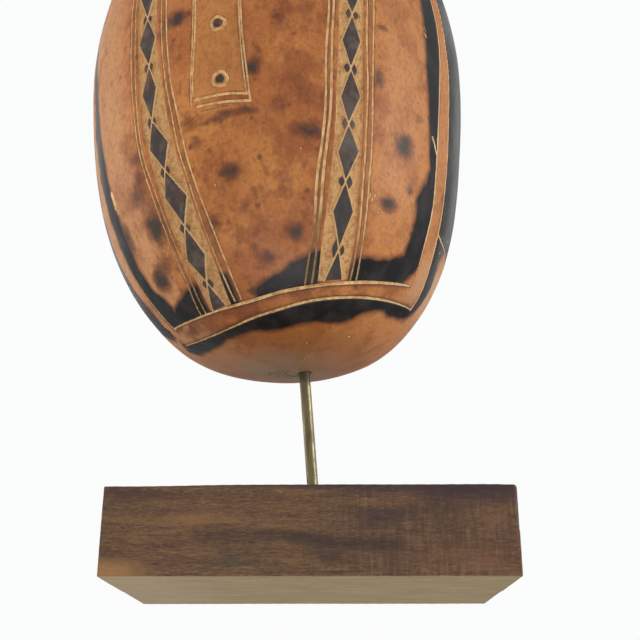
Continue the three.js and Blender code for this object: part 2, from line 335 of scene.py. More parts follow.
LEFT_CORNERS = [
    ((-37.5, 161), (-31.35, 161)), ((-38.9, 146.5), (-32.75, 146.5)),
    ((-39, 128.3), (-32.85, 128.3)), ((-39.1, 110), (-33.75, 110)),
    ((-39.1, 92.5), (-32.75, 92.8)), ((-38.5, 74.2), (-32.95, 74.9)),
    ((-37.8, 55.7), (-30.45, 56)), ((-35.7, 40.2), (-27.25, 39)),
    ((-35.1, 22.6), (-26.45, 22.9)), ((-34.7, 9.7), (-26.25, 10.3)),
]
# The lozenges left and right of each touching point, band by band. Pairs are (left, right):
# axis, drop, sideways shifts, (half width, half height) sizes, how many of the lowest have the
# low sizes, low sizes
LOZENGES = [
    (RIGHT_AXIS, 0.05, (1.22, 1.22), ((0.98, 1.72), (0.98, 1.72)), 1, ((0.86, 2.7), (0.84, 1.8))),
    (LEFT_AXIS, 0.55, (1.05, 0.98), ((0.92, 1.78), (0.80, 1.52)), 2, ((0.98, 1.35), (1.10, 1.35))),
]

CUTS = [  # style of the line's width, depth, [(line, half width)]
    ("ragged", 0.36, [(LEFT_A, 0.27), (LEFT_B, 0.25), (LEFT_C, 0.27)]),
    ("right", 0.36, [(RIGHT_A, 0.34), (RIGHT_B, 0.37)]),
    ("flank", 0.36, [(FLANK_RIGHT_INNER, 0.34)]),
    ("plain", 0.36, [
        (RIGHT_C, 0.27), (RIGHT_D, 0.26), (LEFT_D, 0.27), (PANEL_LEFT_A, 0.23),
        (PANEL_LEFT_B, 0.25), (PANEL_RIGHT_A, 0.23), (PANEL_RIGHT_B, 0.27),
        (PANEL_FOOT_UPPER, 0.41), (PANEL_FOOT_LOWER, 0.40), (FLANK_LEFT_INNER, 0.28),
        (FLANK_LEFT_OUTER, 0.26), (FLANK_RIGHT_OUTER, 0.42), (ARC_RIGHT, 0.32), (ARC_LEFT, 0.26),
    ]),
    ("hem", 0.5, [(HEM_UPPER, 0.52), (HEM_LOWER, 0.47)]),
    ("plain", 0.45, [
        (BACK_RIGHT_OUTER, 0.62), (BACK_RIGHT_INNER, 0.62), (BACK_LEFT_OUTER, 0.62),
        (BACK_LEFT_INNER, 0.62), (BACK_HEM_OUTER, 0.62), (BACK_HEM_INNER, 0.62),
    ]),
]
CHIPS = [  # line, half width
    ([(-61.8, 51.4), (-61.3, 49), (-61.5, 46.9)], 1.05), ([(-60.9, 45.6), (-60.8, 44.3)], 0.30),
    ([(53.9, 67), (55.4, 65), (56.8, 62.4)], 0.40), ([(48.6, 105.2), (49.4, 103.6)], 0.12),
    ([(47.7, 104.8), (48.6, 103.2), (49.6, 101.4)], 0.18),
]
NICKS = [  # small pale chips: degrees, height, half width, half height
    (79.5, 42.6, 0.55, 0.42), (73.6, 36, 0.40, 0.40), (21.8, 3, 0.55, 0.35),
    (34.3, 1.05, 0.42, 0.34), (49, 5.4, 0.50, 0.38), (30.8, 39.4, 0.24, 0.95),
    (31.8, 38.6, 0.20, 0.70), (32.7, 40, 0.18, 0.60), (31.4, 41, 0.32, 0.22),
    (34.9, 35.6, 0.20, 0.42), (43.4, 45.6, 0.34, 0.30), (-51, 30, 0.40, 0.30),
    (8.6, 49.6, 0.30, 0.24), (-17.4, 40.2, 0.34, 0.24),
]
SCRATCHES = [  # line, half width
    ([(-19.3, 62.6), (-15, 62.9), (-11.2, 63.2)], 0.13), ([(71.5, 37.6), (76.5, 31)], 0.16),
    ([(-24.6, 59.6), (-22, 60.6), (-20, 61.8)], 0.12), ([(-30.9, 44), (-25, 42)], 0.10),
]
COLLAR_UPPER = 170.0
RINGS = [  # rings cut right round: height, half width, depth
    (TOP, 0.6, 0.45), (COLLAR_UPPER, 0.6, 0.45), (302.0, 0.5, 0.4), (305.0, 0.5, 0.4),
]
PAIRS = [
    (RIGHT_A, RIGHT_B), (RIGHT_C, RIGHT_D), (LEFT_A, LEFT_B), (LEFT_C, LEFT_D),
    (PANEL_LEFT_A, PANEL_LEFT_B), (PANEL_RIGHT_A, PANEL_RIGHT_B),
]
# Outlines of the scorched areas. The border strips were left unburnt.
BURNS = [
    [(40.5, TOP), (45.5, 140), (48.3, 117), (49.4, 97), (50.1, 88), (52.2, 72), (53.2, 60),
     (54.3, 55.8), (53, 50.5), (49.7, 44.4), (50.9, 38.3), (51.6, 32.2), (50.8, 27.4),
     (43.6, 23.8), (32.6, 22.2), (29.6, 22), (29.4, 15.8), (40, 16.8), (55, 19.2), (57.2, 21.9),
     (60, 26), (63.3, 30.5), (62.6, 45), (60.5, 60), (60, 92), (59, 112), (54, 140), (47.5, TOP)],
    [(16.4, 22.5), (13.5, 22), (11.8, 20.9), (6, 18.9), (2.7, 17.2), (-1.4, 15.6), (-6.4, 14.3),
     (-9.4, 12.6), (-9.2, 10.4), (1.3, 11.4), (11.5, 13.2), (16.6, 13.8)],
    [(-69, 116), (-67.6, 108), (-65.9, 97), (-64.8, 78), (-63.6, 66), (-62.5, 51),
     (-61.6, 41.3), (-62, 33), (-62.8, 27.9), (-62, 20), (-58.6, 16.4), (-57.9, 13.8),
     (-58.6, 12.4), (-54.8, 13.2), (-50.8, 13.9), (-44.4, 15.2), (-38.7, 16.2), (-35.6, 16),
     (-36.2, 8.9), (-50, 8.2), (-72, 9), (-73, 25), (-73, 45), (-73, 62), (-73, 88),
     (-71.6, 102), (-70.2, 112)],
    [(-23.9, 17.5), (-20.6, 17), (-19.6, 13), (-20.2, 10), (-23.4, 9.6)],
    [(-81, 7.8), (-88, 7.1), (-86, 5.4), (-60.6, 4.2), (-45.7, 4.4), (-32, 4.6), (-18.9, 4.95),
     (-9.3, 4.85), (0.3, 5.05), (15, 6.2), (24.3, 6.75), (34, 7.1), (39.8, 8.6), (43.3, 10.3),
     (47.8, 11.7), (53.5, 12.8), (60.4, 12.6), (72, 13.9), (77, 15.6), (80, 21), (79, 27.4),
     (75.5, 33.5), (77.6, 39.6), (66, 40.5), (70, 30), (72.4, 22), (70, 18), (50, 15.6),
     (25.7, 13), (1, 9.9), (-24, 8), (-57, 7.3)],
    [(49.5, TOP + 1), (55, 140), (59.5, 118), (62.4, 97), (63.4, 74), (64.2, 58), (64.8, 48),
     (66.2, 40), (84, 39.3), (100, 38.6), (118, 34.6), (120, 45), (120.6, 62), (119.6, 90),
     (117.5, 115), (112.5, 140), (104.5, TOP + 1)],
    [(-66, TOP + 1), (-71, 140), (-74.3, 115), (-75.6, 90), (-76.6, 62), (-78.8, 43), (-79, 30),
     (-77.5, 18), (-78.4, 10.5), (-84, 10), (-92, 14), (-100, 17), (-112, 18), (-120, 22),
     (-119.4, 28), (-121, 45), (-121.6, 62), (-120.6, 90), (-118.5, 115), (-113.5, 140),
     (-106, TOP + 1)],
]


def turned_back(line):
    """The line reversed and a whole turn lower in angle."""
    return [(angle - 360, height) for angle, height in line[::-1]]


STRIPS = [  # left clean between the two lines of the front and back borders
    [*FLANK_LEFT_INNER, *HEM_UPPER[1:], *FLANK_RIGHT_INNER[::-1][1:], *FLANK_RIGHT_OUTER,
     *HEM_LOWER[::-1][1:], *FLANK_LEFT_OUTER[::-1][1:]],
    [*BACK_LEFT_OUTER, *turned_back(BACK_HEM_OUTER), *turned_back(BACK_RIGHT_OUTER)[1:],
     *turned_back(BACK_RIGHT_INNER[::-1]), *turned_back(BACK_HEM_INNER[:0:-1]),
     *BACK_LEFT_INNER[::-1][1:]],
]
SPOTS = [  # smoked spots: degrees, height, half width, half height, strength
    (-25.5, 96.5, 4.2, 2.5, 0.95), (-4.2, 75.4, 2.8, 3.2, 0.88), (-2.6, 80.5, 1.6, 2, 0.4),
    (-12.1, 43.2, 3.6, 3, 0.8), (-21.7, 53.3, 2.6, 2.4, 0.4), (-44, 55, 3, 2.4, 0.5),
    (-44.6, 49, 2.8, 2.4, 0.5), (10.6, 55.6, 5.4, 2.7, 0.80), (41.3, 58, 3.5, 3.6, 1),
    (32.4, 95.1, 2.4, 1.5, 0.55), (31.6, 77.2, 2.4, 4, 0.62), (2.9, 92.2, 1.9, 2.1, 0.6),
    (8, 79.6, 1.6, 1.6, 0.35), (8.6, 67.2, 4.8, 4, 0.35), (2.7, 62.7, 3.2, 2.6, 0.4),
    (-43.2, 34, 3.5, 5, 0.98), (-52.6, 20.4, 3.4, 3.2, 0.95), (-46.4, 23.4, 4.6, 3.4, 0.5),
    (-47, 44.2, 4.6, 3.2, 0.6), (-60, 35.8, 2.2, 4.8, 0.75), (-62.6, 52, 1.5, 3, 0.5),
    (-19.6, 30.8, 2.3, 2.3, 0.65), (-4.1, 20.2, 2.8, 2.4, 0.65), (-7.6, 23, 2.3, 1.8, 0.4),
    (37.9, 38.5, 3.5, 2.1, 1), (-11.4, 12.8, 2, 1.7, 0.62), (33.4, 45.2, 1.2, 0.8, 0.3),
    (45.4, 45.6, 1.6, 1.8, 0.5), (6.3, 27.1, 2.9, 2.8, 0.9), (-55, 13, 4, 2, 0.5),
    (-11.3, 60, 5, 1.7, 0.6), (-5.8, 61.2, 3.6, 1.7, 0.55), (-17, 59, 3.6, 1.4, 0.45),
    (-57, 8, 5, 1.6, 0.55), (-28, 8.6, 3, 1.4, 0.4), (34, 15, 2.5, 1.2, 0.3),
    (36, 52, 2, 3, 0.25), (-33, 71, 0.8, 2.4, 0.35), (4, 40, 3.5, 3, 0.28),
    (47, 70, 2.2, 2.8, 0.3), (21.5, 84, 2, 2.6, 0.3), (-8.5, 34, 2.6, 2.2, 0.3),
    (-26, 38, 1.6, 2.6, 0.3), (-50, 62, 2.2, 2.6, 0.25),
]


def along(line, steps=48):
    """A smooth, evenly spaced line through the points."""
    line = np.asarray(line, float)
    if len(line) < 3:
        return line
    distance = travelled(*line.T)
    query = np.linspace(0, distance[-1], steps)
    return np.stack([spline(distance, line[:, k])(query) for k in (0, 1)], -1)


def diamonds(axis, corners):
    """The diamonds' outlines, and the two zigzag lines that draw them."""
    outlines, zigzags = [], ([axis[0]], [axis[0]])
    for i, (left, right) in enumerate(corners):
        below = axis[i + 1 : i + 2]
        outlines.append([axis[i], left, *below, right])
        for zigzag, corner in zip(zigzags, (left, right) if i % 2 == 0 else (right, left)):
            zigzag += [corner, *below]
    return outlines, zigzags


# ------------------------------------------------------------------ mesh making
OUTSIDE, LINING, BORE = 0, 1, 2  # a shell vertex's zone: skin, inner surface, wall of a hole
SKIN, PITH = 0, 1  # material slots


def ring_quads(lower, upper):
    """Quads between two loops that run counterclockwise seen from above."""
    return np.stack([lower, np.roll(lower, -1), np.roll(upper, -1), upper], 1)


def fan(ring, hub):
    return np.stack([ring, np.roll(ring, -1), np.full(len(ring), hub)], 1)


def rounded_edge(distance, radius):
    """How far a surface sinks near an edge rounded to the radius."""
    inward = radius - np.clip(distance, 0, radius)
    return radius - np.sqrt(np.maximum(radius**2 - inward**2, 0))


def outline(grid, row0, row1, col0, col1):
    """The outline of a block of grid vertices, counterclockwise seen from outside."""
    lower, right = grid[row0, col0:col1], grid[row0:row1, col1]
    return np.r_[lower, right, grid[row1, col1:col0:-1], grid[row1:row0:-1, col0]]


class Shell:
    """Collects the gourd's vertices, what is known of each, and its faces."""

    def __init__(self):
        self.parts, self.count = [], 0
        self.quads, self.tris, self.quad_slots, self.tri_slots = [], [], [], []

    def add(self, points, normals, angle, length, zone, sink=0.0):
        points, normals = np.asarray(points, float).reshape(-1, 3), np.asarray(normals, float)
        count = len(points)
        if normals.size == 3 * count:
            normals = normals.reshape(-1, 3)
        flat = [
            np.broadcast_to(np.asarray(v, float).ravel(), (count,)) for v in (angle, length, sink)
        ]
        normals = np.broadcast_to(normals, (count, 3))
        self.parts.append((points, normals, flat[0], flat[1], np.full(count, zone), flat[2]))
        self.count += count
        return np.arange(self.count - count, self.count)

    def on_surface(self, angle, length, sink=0.0):
        angle, length = np.broadcast_arrays(np.asarray(angle, float), np.asarray(length, float))
        return self.add(*surface(angle, length), angle, length, OUTSIDE, sink)

    def add_quads(self, quads, slot=SKIN):
        self.quads.append(quads)
        self.quad_slots.append(np.full(len(quads), slot))

    def add_tris(self, tris, slot=SKIN):
        self.tris.append(tris)
        self.tri_slots.append(np.full(len(tris), slot))

    def stitch(self, first, first_turn, second, second_turn, slot=SKIN, flip=False):
        """Triangles between two closed loops, matched by their angles in degrees."""
        order = np.argsort(first_turn), np.argsort(second_turn)
        first, first_turn = np.asarray(first)[order[0]], np.asarray(first_turn)[order[0]]
        second, second_turn = np.asarray(second)[order[1]], np.asarray(second_turn)[order[1]]
        tris, i, j = [], 0, 0
        count, other = len(first), len(second)
        while i < count or j < other:
            next_first = first_turn[(i + 1) % count] + 360.0 * ((i + 1) // count)
            next_second = second_turn[(j + 1) % other] + 360.0 * ((j + 1) // other)
            if j >= other or (i < count and next_first <= next_second):
                tris.append((first[i % count], first[(i + 1) % count], second[j % other]))
                i += 1
            else:
                tris.append((first[i % count], second[(j + 1) % other], second[j % other]))
                j += 1
        tris = np.array(tris)
        self.add_tris(tris[:, ::-1] if flip else tris, slot)

    def arrays(self):
        """Points, normals, angles, lengths, zones and sinks of all vertices so far."""
        return [np.concatenate(column) for column in zip(*self.parts)]


def make_object(name, points, quads, tris, slots=None, attributes=None):
    """A smooth-shaded mesh object; vertices that no face uses are left out."""
    quads, tris = np.concatenate(quads), np.concatenate(tris)
    used = np.zeros(len(points), bool)
    used[quads.ravel()] = used[tris.ravel()] = True
    index = np.cumsum(used) - 1
    mesh = bpy.data.meshes.new(name)
    places = (np.asarray(points)[used] * MILLI).astype(np.float32)
    mesh.vertices.add(len(places))
    mesh.vertices.foreach_set("co", places.ravel())
    loops = np.r_[index[quads.ravel()], index[tris.ravel()]].astype(np.int32)
    starts = np.r_[np.arange(len(quads)) * 4, len(quads) * 4 + np.arange(len(tris)) * 3]
    mesh.loops.add(len(loops))
    mesh.loops.foreach_set("vertex_index", loops)
    mesh.polygons.add(len(starts))
    mesh.polygons.foreach_set("loop_start", starts.astype(np.int32))
    if slots is not None:
        mesh.polygons.foreach_set("material_index", np.concatenate(slots).astype(np.int32))
    mesh.polygons.foreach_set("use_smooth", np.ones(len(starts), bool))
    mesh.update(calc_edges=True)
    mesh.validate()
    for key, values in (attributes or {}).items():
        layer = mesh.attributes.new(key, "FLOAT", "POINT")
        layer.data.foreach_set("value", np.asarray(values, np.float32)[used])
    made = bpy.data.objects.new(name, mesh)
    bpy.context.scene.collection.objects.link(made)
    return made


def make_turned(name, points, levels, sides):
    """A closed object from rings of points, the first and last of them shrunk to a point."""
    rings = np.arange(levels * sides).reshape(levels, sides)
    quads = [ring_quads(rings[k], rings[k + 1]) for k in range(1, levels - 2)]
    bottom = fan(rings[1], rings[0, 0])[:, [2, 1, 0]]
    top = fan(rings[-2], rings[-1, 0])[:, [2, 0, 1]]
    return make_object(name, points.reshape(-1, 3), quads, [bottom, top])


# ------------------------------------------------------------------ the gourd's skin mesh
FINE, COARSE = ((0.36, 0.8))  # column spacing at the front, at the back
JOIN_DROP = 0.17  # parts the two rings where zones of different stride meet
TIP = math.inf  # height that stands for the skin's very end
ZONES = [  # every nth column, [(lowest height, highest height, level spacing in FINE)]
    (4, [(1.72, 4.9, 1.4)]),
    (2, [(4.9, 13.0, 1.0)]),
    (1, [(13.0, 104, 1.0), (104, 172, 1.15)]),
    (2, [(172, 214, 1.1)]),
    (4, [(214, 300, 1.15), (300, TIP, 1.6)]),
]
SKIN_START = length_at(ZONES[0][1][0][0])


def column_angles():
    """Column angles, 0 to 360: close together over the front, wider at the back."""
    angle = np.linspace(0, 360, 7201)
    away = np.minimum(angle, 360 - angle)
    density = 1 / (FINE + (COARSE - FINE) * smooth(away, 84, 100))
    body_radius = 66
    arcs = np.diff(angle) * math.pi / 180 * body_radius
    total = np.r_[0, np.cumsum((density[1:] + density[:-1]) / 2 * arcs)]
    count = int(round(total[-1] / 16)) * 16
    return np.interp(np.arange(count) / count * total[-1], total, angle)


def spaced(start, stop, step):
    return np.linspace(start, stop, max(2, int(round((stop - start) / step)) + 1))


COLUMNS = column_angles()
shell = Shell()
below = None
for stride, spans in ZONES:
    rows = [spaced(length_at(lo), length_at(hi), FINE * share) for lo, hi, share in spans]
    lengths = np.concatenate([rows[0], *(row[1:] for row in rows[1:])])
    if lengths[-1] < SKIN_END:
        lengths[-1] -= JOIN_DROP
    angles = COLUMNS[::stride]
    grid = shell.on_surface(angles[None, :], lengths[:, None]).reshape(len(lengths), len(angles))
    if below is None:
        first_ring = grid[0]
    else:
        shell.stitch(*below, grid[0], angles)
    if stride == 1:  # its faces wait for the finger holes
        main_grid, main_lengths = grid, lengths
    else:
        for lower, upper in zip(grid, grid[1:]):
            shell.add_quads(ring_quads(lower, upper))
    below = grid[-1], angles


def close_top(previous, angles):
    """The flat end under the stem."""
    turn, middle, z = np.radians(angles), centre_x(GOURD_HEIGHT), GOURD_HEIGHT + GOURD_Z
    for radius in (5.5, 3.0):
        x, y = middle + radius * np.sin(turn), -radius * np.cos(turn)
        points = np.stack([x, y, np.full(len(turn), z)], -1)
        ring = shell.add(points, (0, 0, 1), angles, SKIN_END, OUTSIDE)
        shell.add_quads(ring_quads(previous, ring))
        previous = ring
    pole = shell.add([(float(middle), 0, z)], (0, 0, 1), 0, SKIN_END, OUTSIDE)
    shell.add_tris(fan(previous, pole[0]))


close_top(*below)

# ---- lining
LINING_SIDES = 104
lining_angles = np.arange(LINING_SIDES) / LINING_SIDES * 360
lining_lengths = spaced(SKIN_START, length_at(340.4), 2.6)
lining_radius = radius_at(lining_lengths) - WALL * np.interp(lining_lengths, SKIN_LENGTH, RISE)
lining_lengths = lining_lengths[lining_radius > 3.0]
_points, _normals = surface(lining_angles[None, :], lining_lengths[:, None])
_points = _points - _normals * WALL
lining_grid = shell.add(
    _points, -_normals,
    *np.broadcast_arrays(lining_angles[None, :], lining_lengths[:, None]), LINING,
).reshape(len(lining_lengths), LINING_SIDES)
_hub = shell.add([_points[-1].mean(0) + (0, 0, 0.3)], (0, 0, -1), 0, lining_lengths[-1], LINING)
shell.add_tris(fan(lining_grid[-1], _hub[0])[:, [1, 0, 2]], PITH)

# ---- finger holes, one above the other in the middle of the back
skip_main = np.zeros((len(main_lengths) - 1, len(COLUMNS)), bool)
skip_lining = np.zeros((len(lining_lengths) - 1, LINING_SIDES), bool)


def open_patch(grid, lengths, angles, skip, centre, half):
    """Leaves a square of the grid open at the back; returns its outline."""
    row0, row1 = np.searchsorted(lengths, [centre - half, centre + half])
    spread = math.degrees(half / float(radius_at(centre)))
    col0, col1 = np.searchsorted(angles, [180 - spread, 180 + spread])
    skip[row0:row1, col0:col1] = True
    return outline(grid, row0, row1, col0, col1)


def flattened(loop, centre):
    """A loop's places over the skin, from the middle of its hole."""
    _, _, angles, lengths, _, _ = shell.arrays()
    x = np.radians(angles[loop] - 180) * radius_at(lengths[loop])
    return x, lengths[loop] - centre


def finger_hole(height):
    centre = float(length_at(height))
    loop = open_patch(main_grid, main_lengths, COLUMNS, skip_main, centre, half=14.5)
    edge_x, edge_y = flattened(loop, centre)
    turn = np.arctan2(edge_y, edge_x)
    wobble = 1 + 0.012 * np.sin(3 * turn + height) + 0.008 * np.sin(5 * turn + 1.3 * height)
    rim_x, rim_y = FINGER_RADIUS * wobble * np.cos(turn), FINGER_RADIUS * wobble * np.sin(turn)
    middle, outward = surface(180.0, centre)
    previous, rings = loop, 26
    for share in 1 - (1 - np.arange(1, rings + 1) / rings) ** 1.7:  # closer towards the rim
        x, y = edge_x + (rim_x - edge_x) * share, edge_y + (rim_y - edge_y) * share
        length = centre + y
        sink = rounded_edge(np.hypot(x, y) - np.hypot(rim_x, rim_y), EDGE_ROUNDING)
        ring = shell.on_surface(180 + np.degrees(x / radius_at(length)), length, sink)
        shell.add_quads(ring_quads(previous, ring))
        previous = ring
    length = centre + rim_y
    rim, _ = surface(180 + np.degrees(rim_x / radius_at(length)), length)
    for depth in (1.7, 2.4, 3.2, 4.0, 4.6, WALL):
        flare = 0.02 if depth == WALL else 0
        points = rim - outward * depth + (rim - middle) * flare
        ring = shell.add(points, (rim - middle) / -FINGER_RADIUS, 180, centre, BORE)
        shell.add_quads(ring_quads(previous, ring), PITH)
        previous = ring
    loop = open_patch(lining_grid, lining_lengths, lining_angles, skip_lining, centre, half=14)
    edge_x, edge_y = flattened(loop, centre)
    shell.stitch(
        loop, np.degrees(np.arctan2(edge_y, edge_x)), previous, np.degrees(turn), PITH, flip=True
    )


EDGE_ROUNDING = 1.1  # of the finger holes' rims
for _height in FINGER_HEIGHTS:
    finger_hole(_height)
for i in range(len(main_lengths) - 1):
    shell.add_quads(ring_quads(main_grid[i], main_grid[i + 1])[~skip_main[i]])
for i in range(len(lining_lengths) - 1):
    quads = ring_quads(lining_grid[i], lining_grid[i + 1])[:, [1, 0, 3, 2]]
    shell.add_quads(quads[~skip_lining[i]], PITH)

# ---- the bottom, round the rod's hole
hole_x = rod_x(GOURD_Z + 0.3)
bottom_x = float(centre_x(0.0))


def close_bottom():
    places = shell.arrays()[0]
    edge = places[first_ring][:, :2]
    turn = np.arctan2(edge[:, 1], edge[:, 0] - hole_x)
    order = np.argsort(turn)
    previous, turn, edge = first_ring[order], turn[order], edge[order]
    radius = HOLE_RADIUS * (1 + 0.05 * np.sin(2 * turn + 1) + 0.03 * np.sin(5 * turn))
    hole = np.stack([hole_x + radius * np.cos(turn), radius * np.sin(turn)], -1)
    flat_part = slice(0, 3000)  # the profile's samples near the bottom
    for share in np.linspace(0, 1, (34) + 1)[1:]:
        spot = edge + (hole - edge) * share**0.85
        x, y = spot.T
        away = np.hypot(x - bottom_x, y)
        length = np.interp(away, SKIN_RADIUS[flat_part], SKIN_LENGTH[flat_part])
        angle = np.degrees(np.arctan2(x - bottom_x, -y)) % 360
        sink = rounded_edge(np.hypot(x - hole_x, y) - radius, 0.45)
        ring = shell.on_surface(angle, length, sink)
        shell.add_quads(ring_quads(ring, previous))
        previous = ring
    for rise in (0.9, 1.8, 2.8, 3.8, 4.7, 5.3):
        z = np.full(len(turn), GOURD_Z + 0.2 + rise)
        points = np.stack([hole[:, 0] + ROD_LEAN * rise, hole[:, 1], z], -1)
        ring = shell.add(points, (0, 0, -1), 90, 5, BORE)
        shell.add_quads(ring_quads(ring, previous), PITH)
        previous = ring
    lining = places[lining_grid[0]]
    lining_turn = np.degrees(np.arctan2(lining[:, 1], lining[:, 0] - hole_x))
    shell.stitch(previous, np.degrees(turn), lining_grid[0], lining_turn, PITH, flip=True)


close_bottom()

POINT, NORMAL, ANGLE, LENGTH, ZONE, SINK = shell.arrays()
OUTER = ZONE == OUTSIDE
HEIGHT, RADIUS, SIDE = height_at(LENGTH), radius_at(LENGTH), wrapped(ANGLE)
BOTTOM = POINT[:, 2] < GOURD_Z + 4

# ------------------------------------------------------------------ engraving fields
# One value per vertex, in mm over the skin: positive inside a feature, negative outside it.
FAR = -6.0


def trace(points, reach, closed=False):
    """The vertices near a line, their distances to it, and which lie inside it if closed."""
    points = np.asarray(points, float)
    angle, length = points[:, 0], length_at(points[:, 1])
    middle = (angle.min() + angle.max()) / 2
    turned = wrapped(ANGLE - middle) + middle
    pad = math.degrees(reach / max(8.0, float(radius_at(length).min())))
    pick = OUTER & (LENGTH > length.min() - reach) & (LENGTH < length.max() + reach)
    pick = np.nonzero(pick & (turned > angle.min() - pad) & (turned < angle.max() + pad))[0]
    turned, level, radius = turned[pick], LENGTH[pick], RADIUS[pick]
    nearest, inside = np.full(len(pick), 99.0), np.zeros(len(pick), bool)
    count = len(points)
    for i in range(count if closed else count - 1):
        j = (i + 1) % count
        near = level > min(length[i], length[j]) - reach
        near &= level < max(length[i], length[j]) + reach
        x, y = np.radians(angle[i] - turned[near]) * radius[near], length[i] - level[near]
        step_x = np.radians(angle[j] - turned[near]) * radius[near] - x
        step_y = length[j] - level[near] - y
        share = -(x * step_x + y * step_y) / (step_x * step_x + step_y * step_y + 1e-12)
        share = np.clip(share, 0, 1)
        distance = np.hypot(x + share * step_x, y + share * step_y)
        nearest[near] = np.minimum(nearest[near], distance)
        rise = length[j] - length[i]
        if closed and abs(rise) > 1e-9:
            crossing = (length[i] > level) != (length[j] > level)
            inside ^= crossing & (
                turned < angle[i] + (level - length[i]) / rise * (angle[j] - angle[i])
            )
    return pick, nearest, inside


def line_distance(line, reach=3.0):
    """Every vertex's distance to a line, 99 beyond reach."""
    distance = np.full(len(LENGTH), 99.0)
    pick, nearest, _ = trace(line, reach)
    distance[pick] = nearest
    return distance


def area_distance(line, reach=6.0):
    """Signed distance to an outline, positive inside, limited to reach."""
    distance = np.full(len(LENGTH), -reach)
    pick, nearest, inside = trace(line, reach, closed=True)
    nearest = np.minimum(nearest, reach)
    distance[pick] = np.where(inside, nearest, -nearest)
    return distance


def areas(outlines, reach=6.0):
    """Signed distance to the nearest of several outlines, not below FAR."""
    field = blank()
    for points in outlines:
        field = np.maximum(field, area_distance(points, reach))
    return field


def between(left, right):
    """The outline of the area between two lines."""
    return np.concatenate([along(left), along(right)[::-1]])


def skin_offset(angle, height, pick=slice(None)):
    """Vertices' places over the skin, to the right of and above a spot."""
    x = np.radians(wrapped(ANGLE[pick] - angle)) * RADIUS[pick]
    return x, LENGTH[pick] - length_at(height)


def skin_noise(size, shift, octaves=2):
    return fractal(POINT, size, shift, octaves)


def blank():
    return np.full(len(POINT), FAR)


def on_outer(values, otherwise=FAR):
    return np.where(OUTER, values, otherwise)


def bowl(distance, half):
    """1 at the middle of a round-bottomed groove, 0 beyond its half width."""
    return np.clip(1 - (distance / half) ** 2, 0, 1)


uneven = 1 + 0.10 * skin_noise(5.0, shift=8.7)  # the knife's slow changes in width
ragged = 0.16 * skin_noise(1.7, shift=4.9)
cut = blank()
groove = np.zeros(len(POINT))  # depth


def carve(distance, half, depth, spread):
    """Adds a line to the cuts; its groove is `spread` times as wide as its colour."""
    np.maximum(cut, on_outer(half - distance), out=cut)
    np.maximum(groove, on_outer(depth * bowl(distance, half * spread), 0), out=groove)


WIDTHS = {
    # coarse work, thinner towards both ends
    "hem": (1 + ragged) * (1 - 0.5 * smooth(SIDE, 38, 72)) * (1 - 0.42 * smooth(-SIDE, 12, 40)),
    "flank": 0.35 + 0.65 * smooth(HEIGHT, 24, 38),
    "ragged": (1 + 1.2 * ragged) * 0.86,
    "right": (1 + 0.6 * ragged) * (0.96 + 0.26 * smooth(HEIGHT, 74, 50))
    * (1 - 0.32 * smooth(HEIGHT, 36, 24)),
    "plain": 1 + 0.5 * ragged,
}
for style, depth, lines in CUTS:
    for line, half in lines:
        carve(line_distance(along(line), 4.0), half * uneven * WIDTHS[style], depth, spread=1.12)

right_diamonds, right_zigzags = diamonds(RIGHT_AXIS, RIGHT_CORNERS)
left_diamonds, left_zigzags = diamonds(LEFT_AXIS, LEFT_CORNERS)
zigzag = blank()
for lines, half in ((right_zigzags, 0.23), (left_zigzags, 0.22)):
    for line in lines:
        distance, width = line_distance(line), half * uneven
        zigzag = np.maximum(zigzag, width - distance)
        carve(distance, width, depth=0.14, spread=1.2)
for line, half in CHIPS:
    chipped = line_distance(along(line)) + 0.25 * skin_noise(1.1, shift=3.9)
    carve(chipped, half, depth=0.2, spread=1.0)
for angle, height, half_x, half_y in NICKS:
    x, y = skin_offset(angle, height)
    nick = on_outer(0.30 * (1 - np.hypot(x / half_x, y / half_y) + 0.8 * ragged))
    cut = np.maximum(cut, nick)
    groove = np.maximum(groove, np.clip(nick, 0, 0.3) * 0.5)
scratch = blank()
for line, half in SCRATCHES:
    scratch = np.maximum(scratch, half - line_distance(along(line)))
clean = area_distance(
    np.concatenate([along(PANEL_LEFT_B), along(PANEL_FOOT_UPPER), along(PANEL_RIGHT_A)[::-1]]), 4.0
)
pair = areas([between(*lines) for lines in PAIRS], 2.0)
for height, half, depth in RINGS:
    waver = 0.35 * np.sin(np.radians(ANGLE * 2 + height)) + 0.15 * np.sin(np.radians(ANGLE * 5))
    carve(np.abs(LENGTH - length_at(height) - waver), half, depth, spread=1.1)

# ---- buttons: a carved ring round a small burnt dome
ink = blank()
dome = np.zeros(len(POINT))
for i, (angle, height, ring_radius, ink_radius) in enumerate(BUTTONS):
    x, y = skin_offset(angle, height)
    turn = np.arctan2(y, x)
    wobble = 1 + 0.045 * np.sin(3 * turn + 1.7 * i) + 0.035 * np.sin(5 * turn + i)
    distance = np.hypot(x, y) * wobble
    from_ring = distance - ring_radius
    cut = np.maximum(cut, on_outer(0.48 + 0.4 * ragged - np.abs(from_ring)))
    groove = np.maximum(groove, on_outer(0.40 * bowl(from_ring, 0.58), 0))
    ink = np.maximum(ink, on_outer(ink_radius - distance))
    dome = np.maximum(dome, on_outer(0.12 * bowl(distance, 1.7), 0))

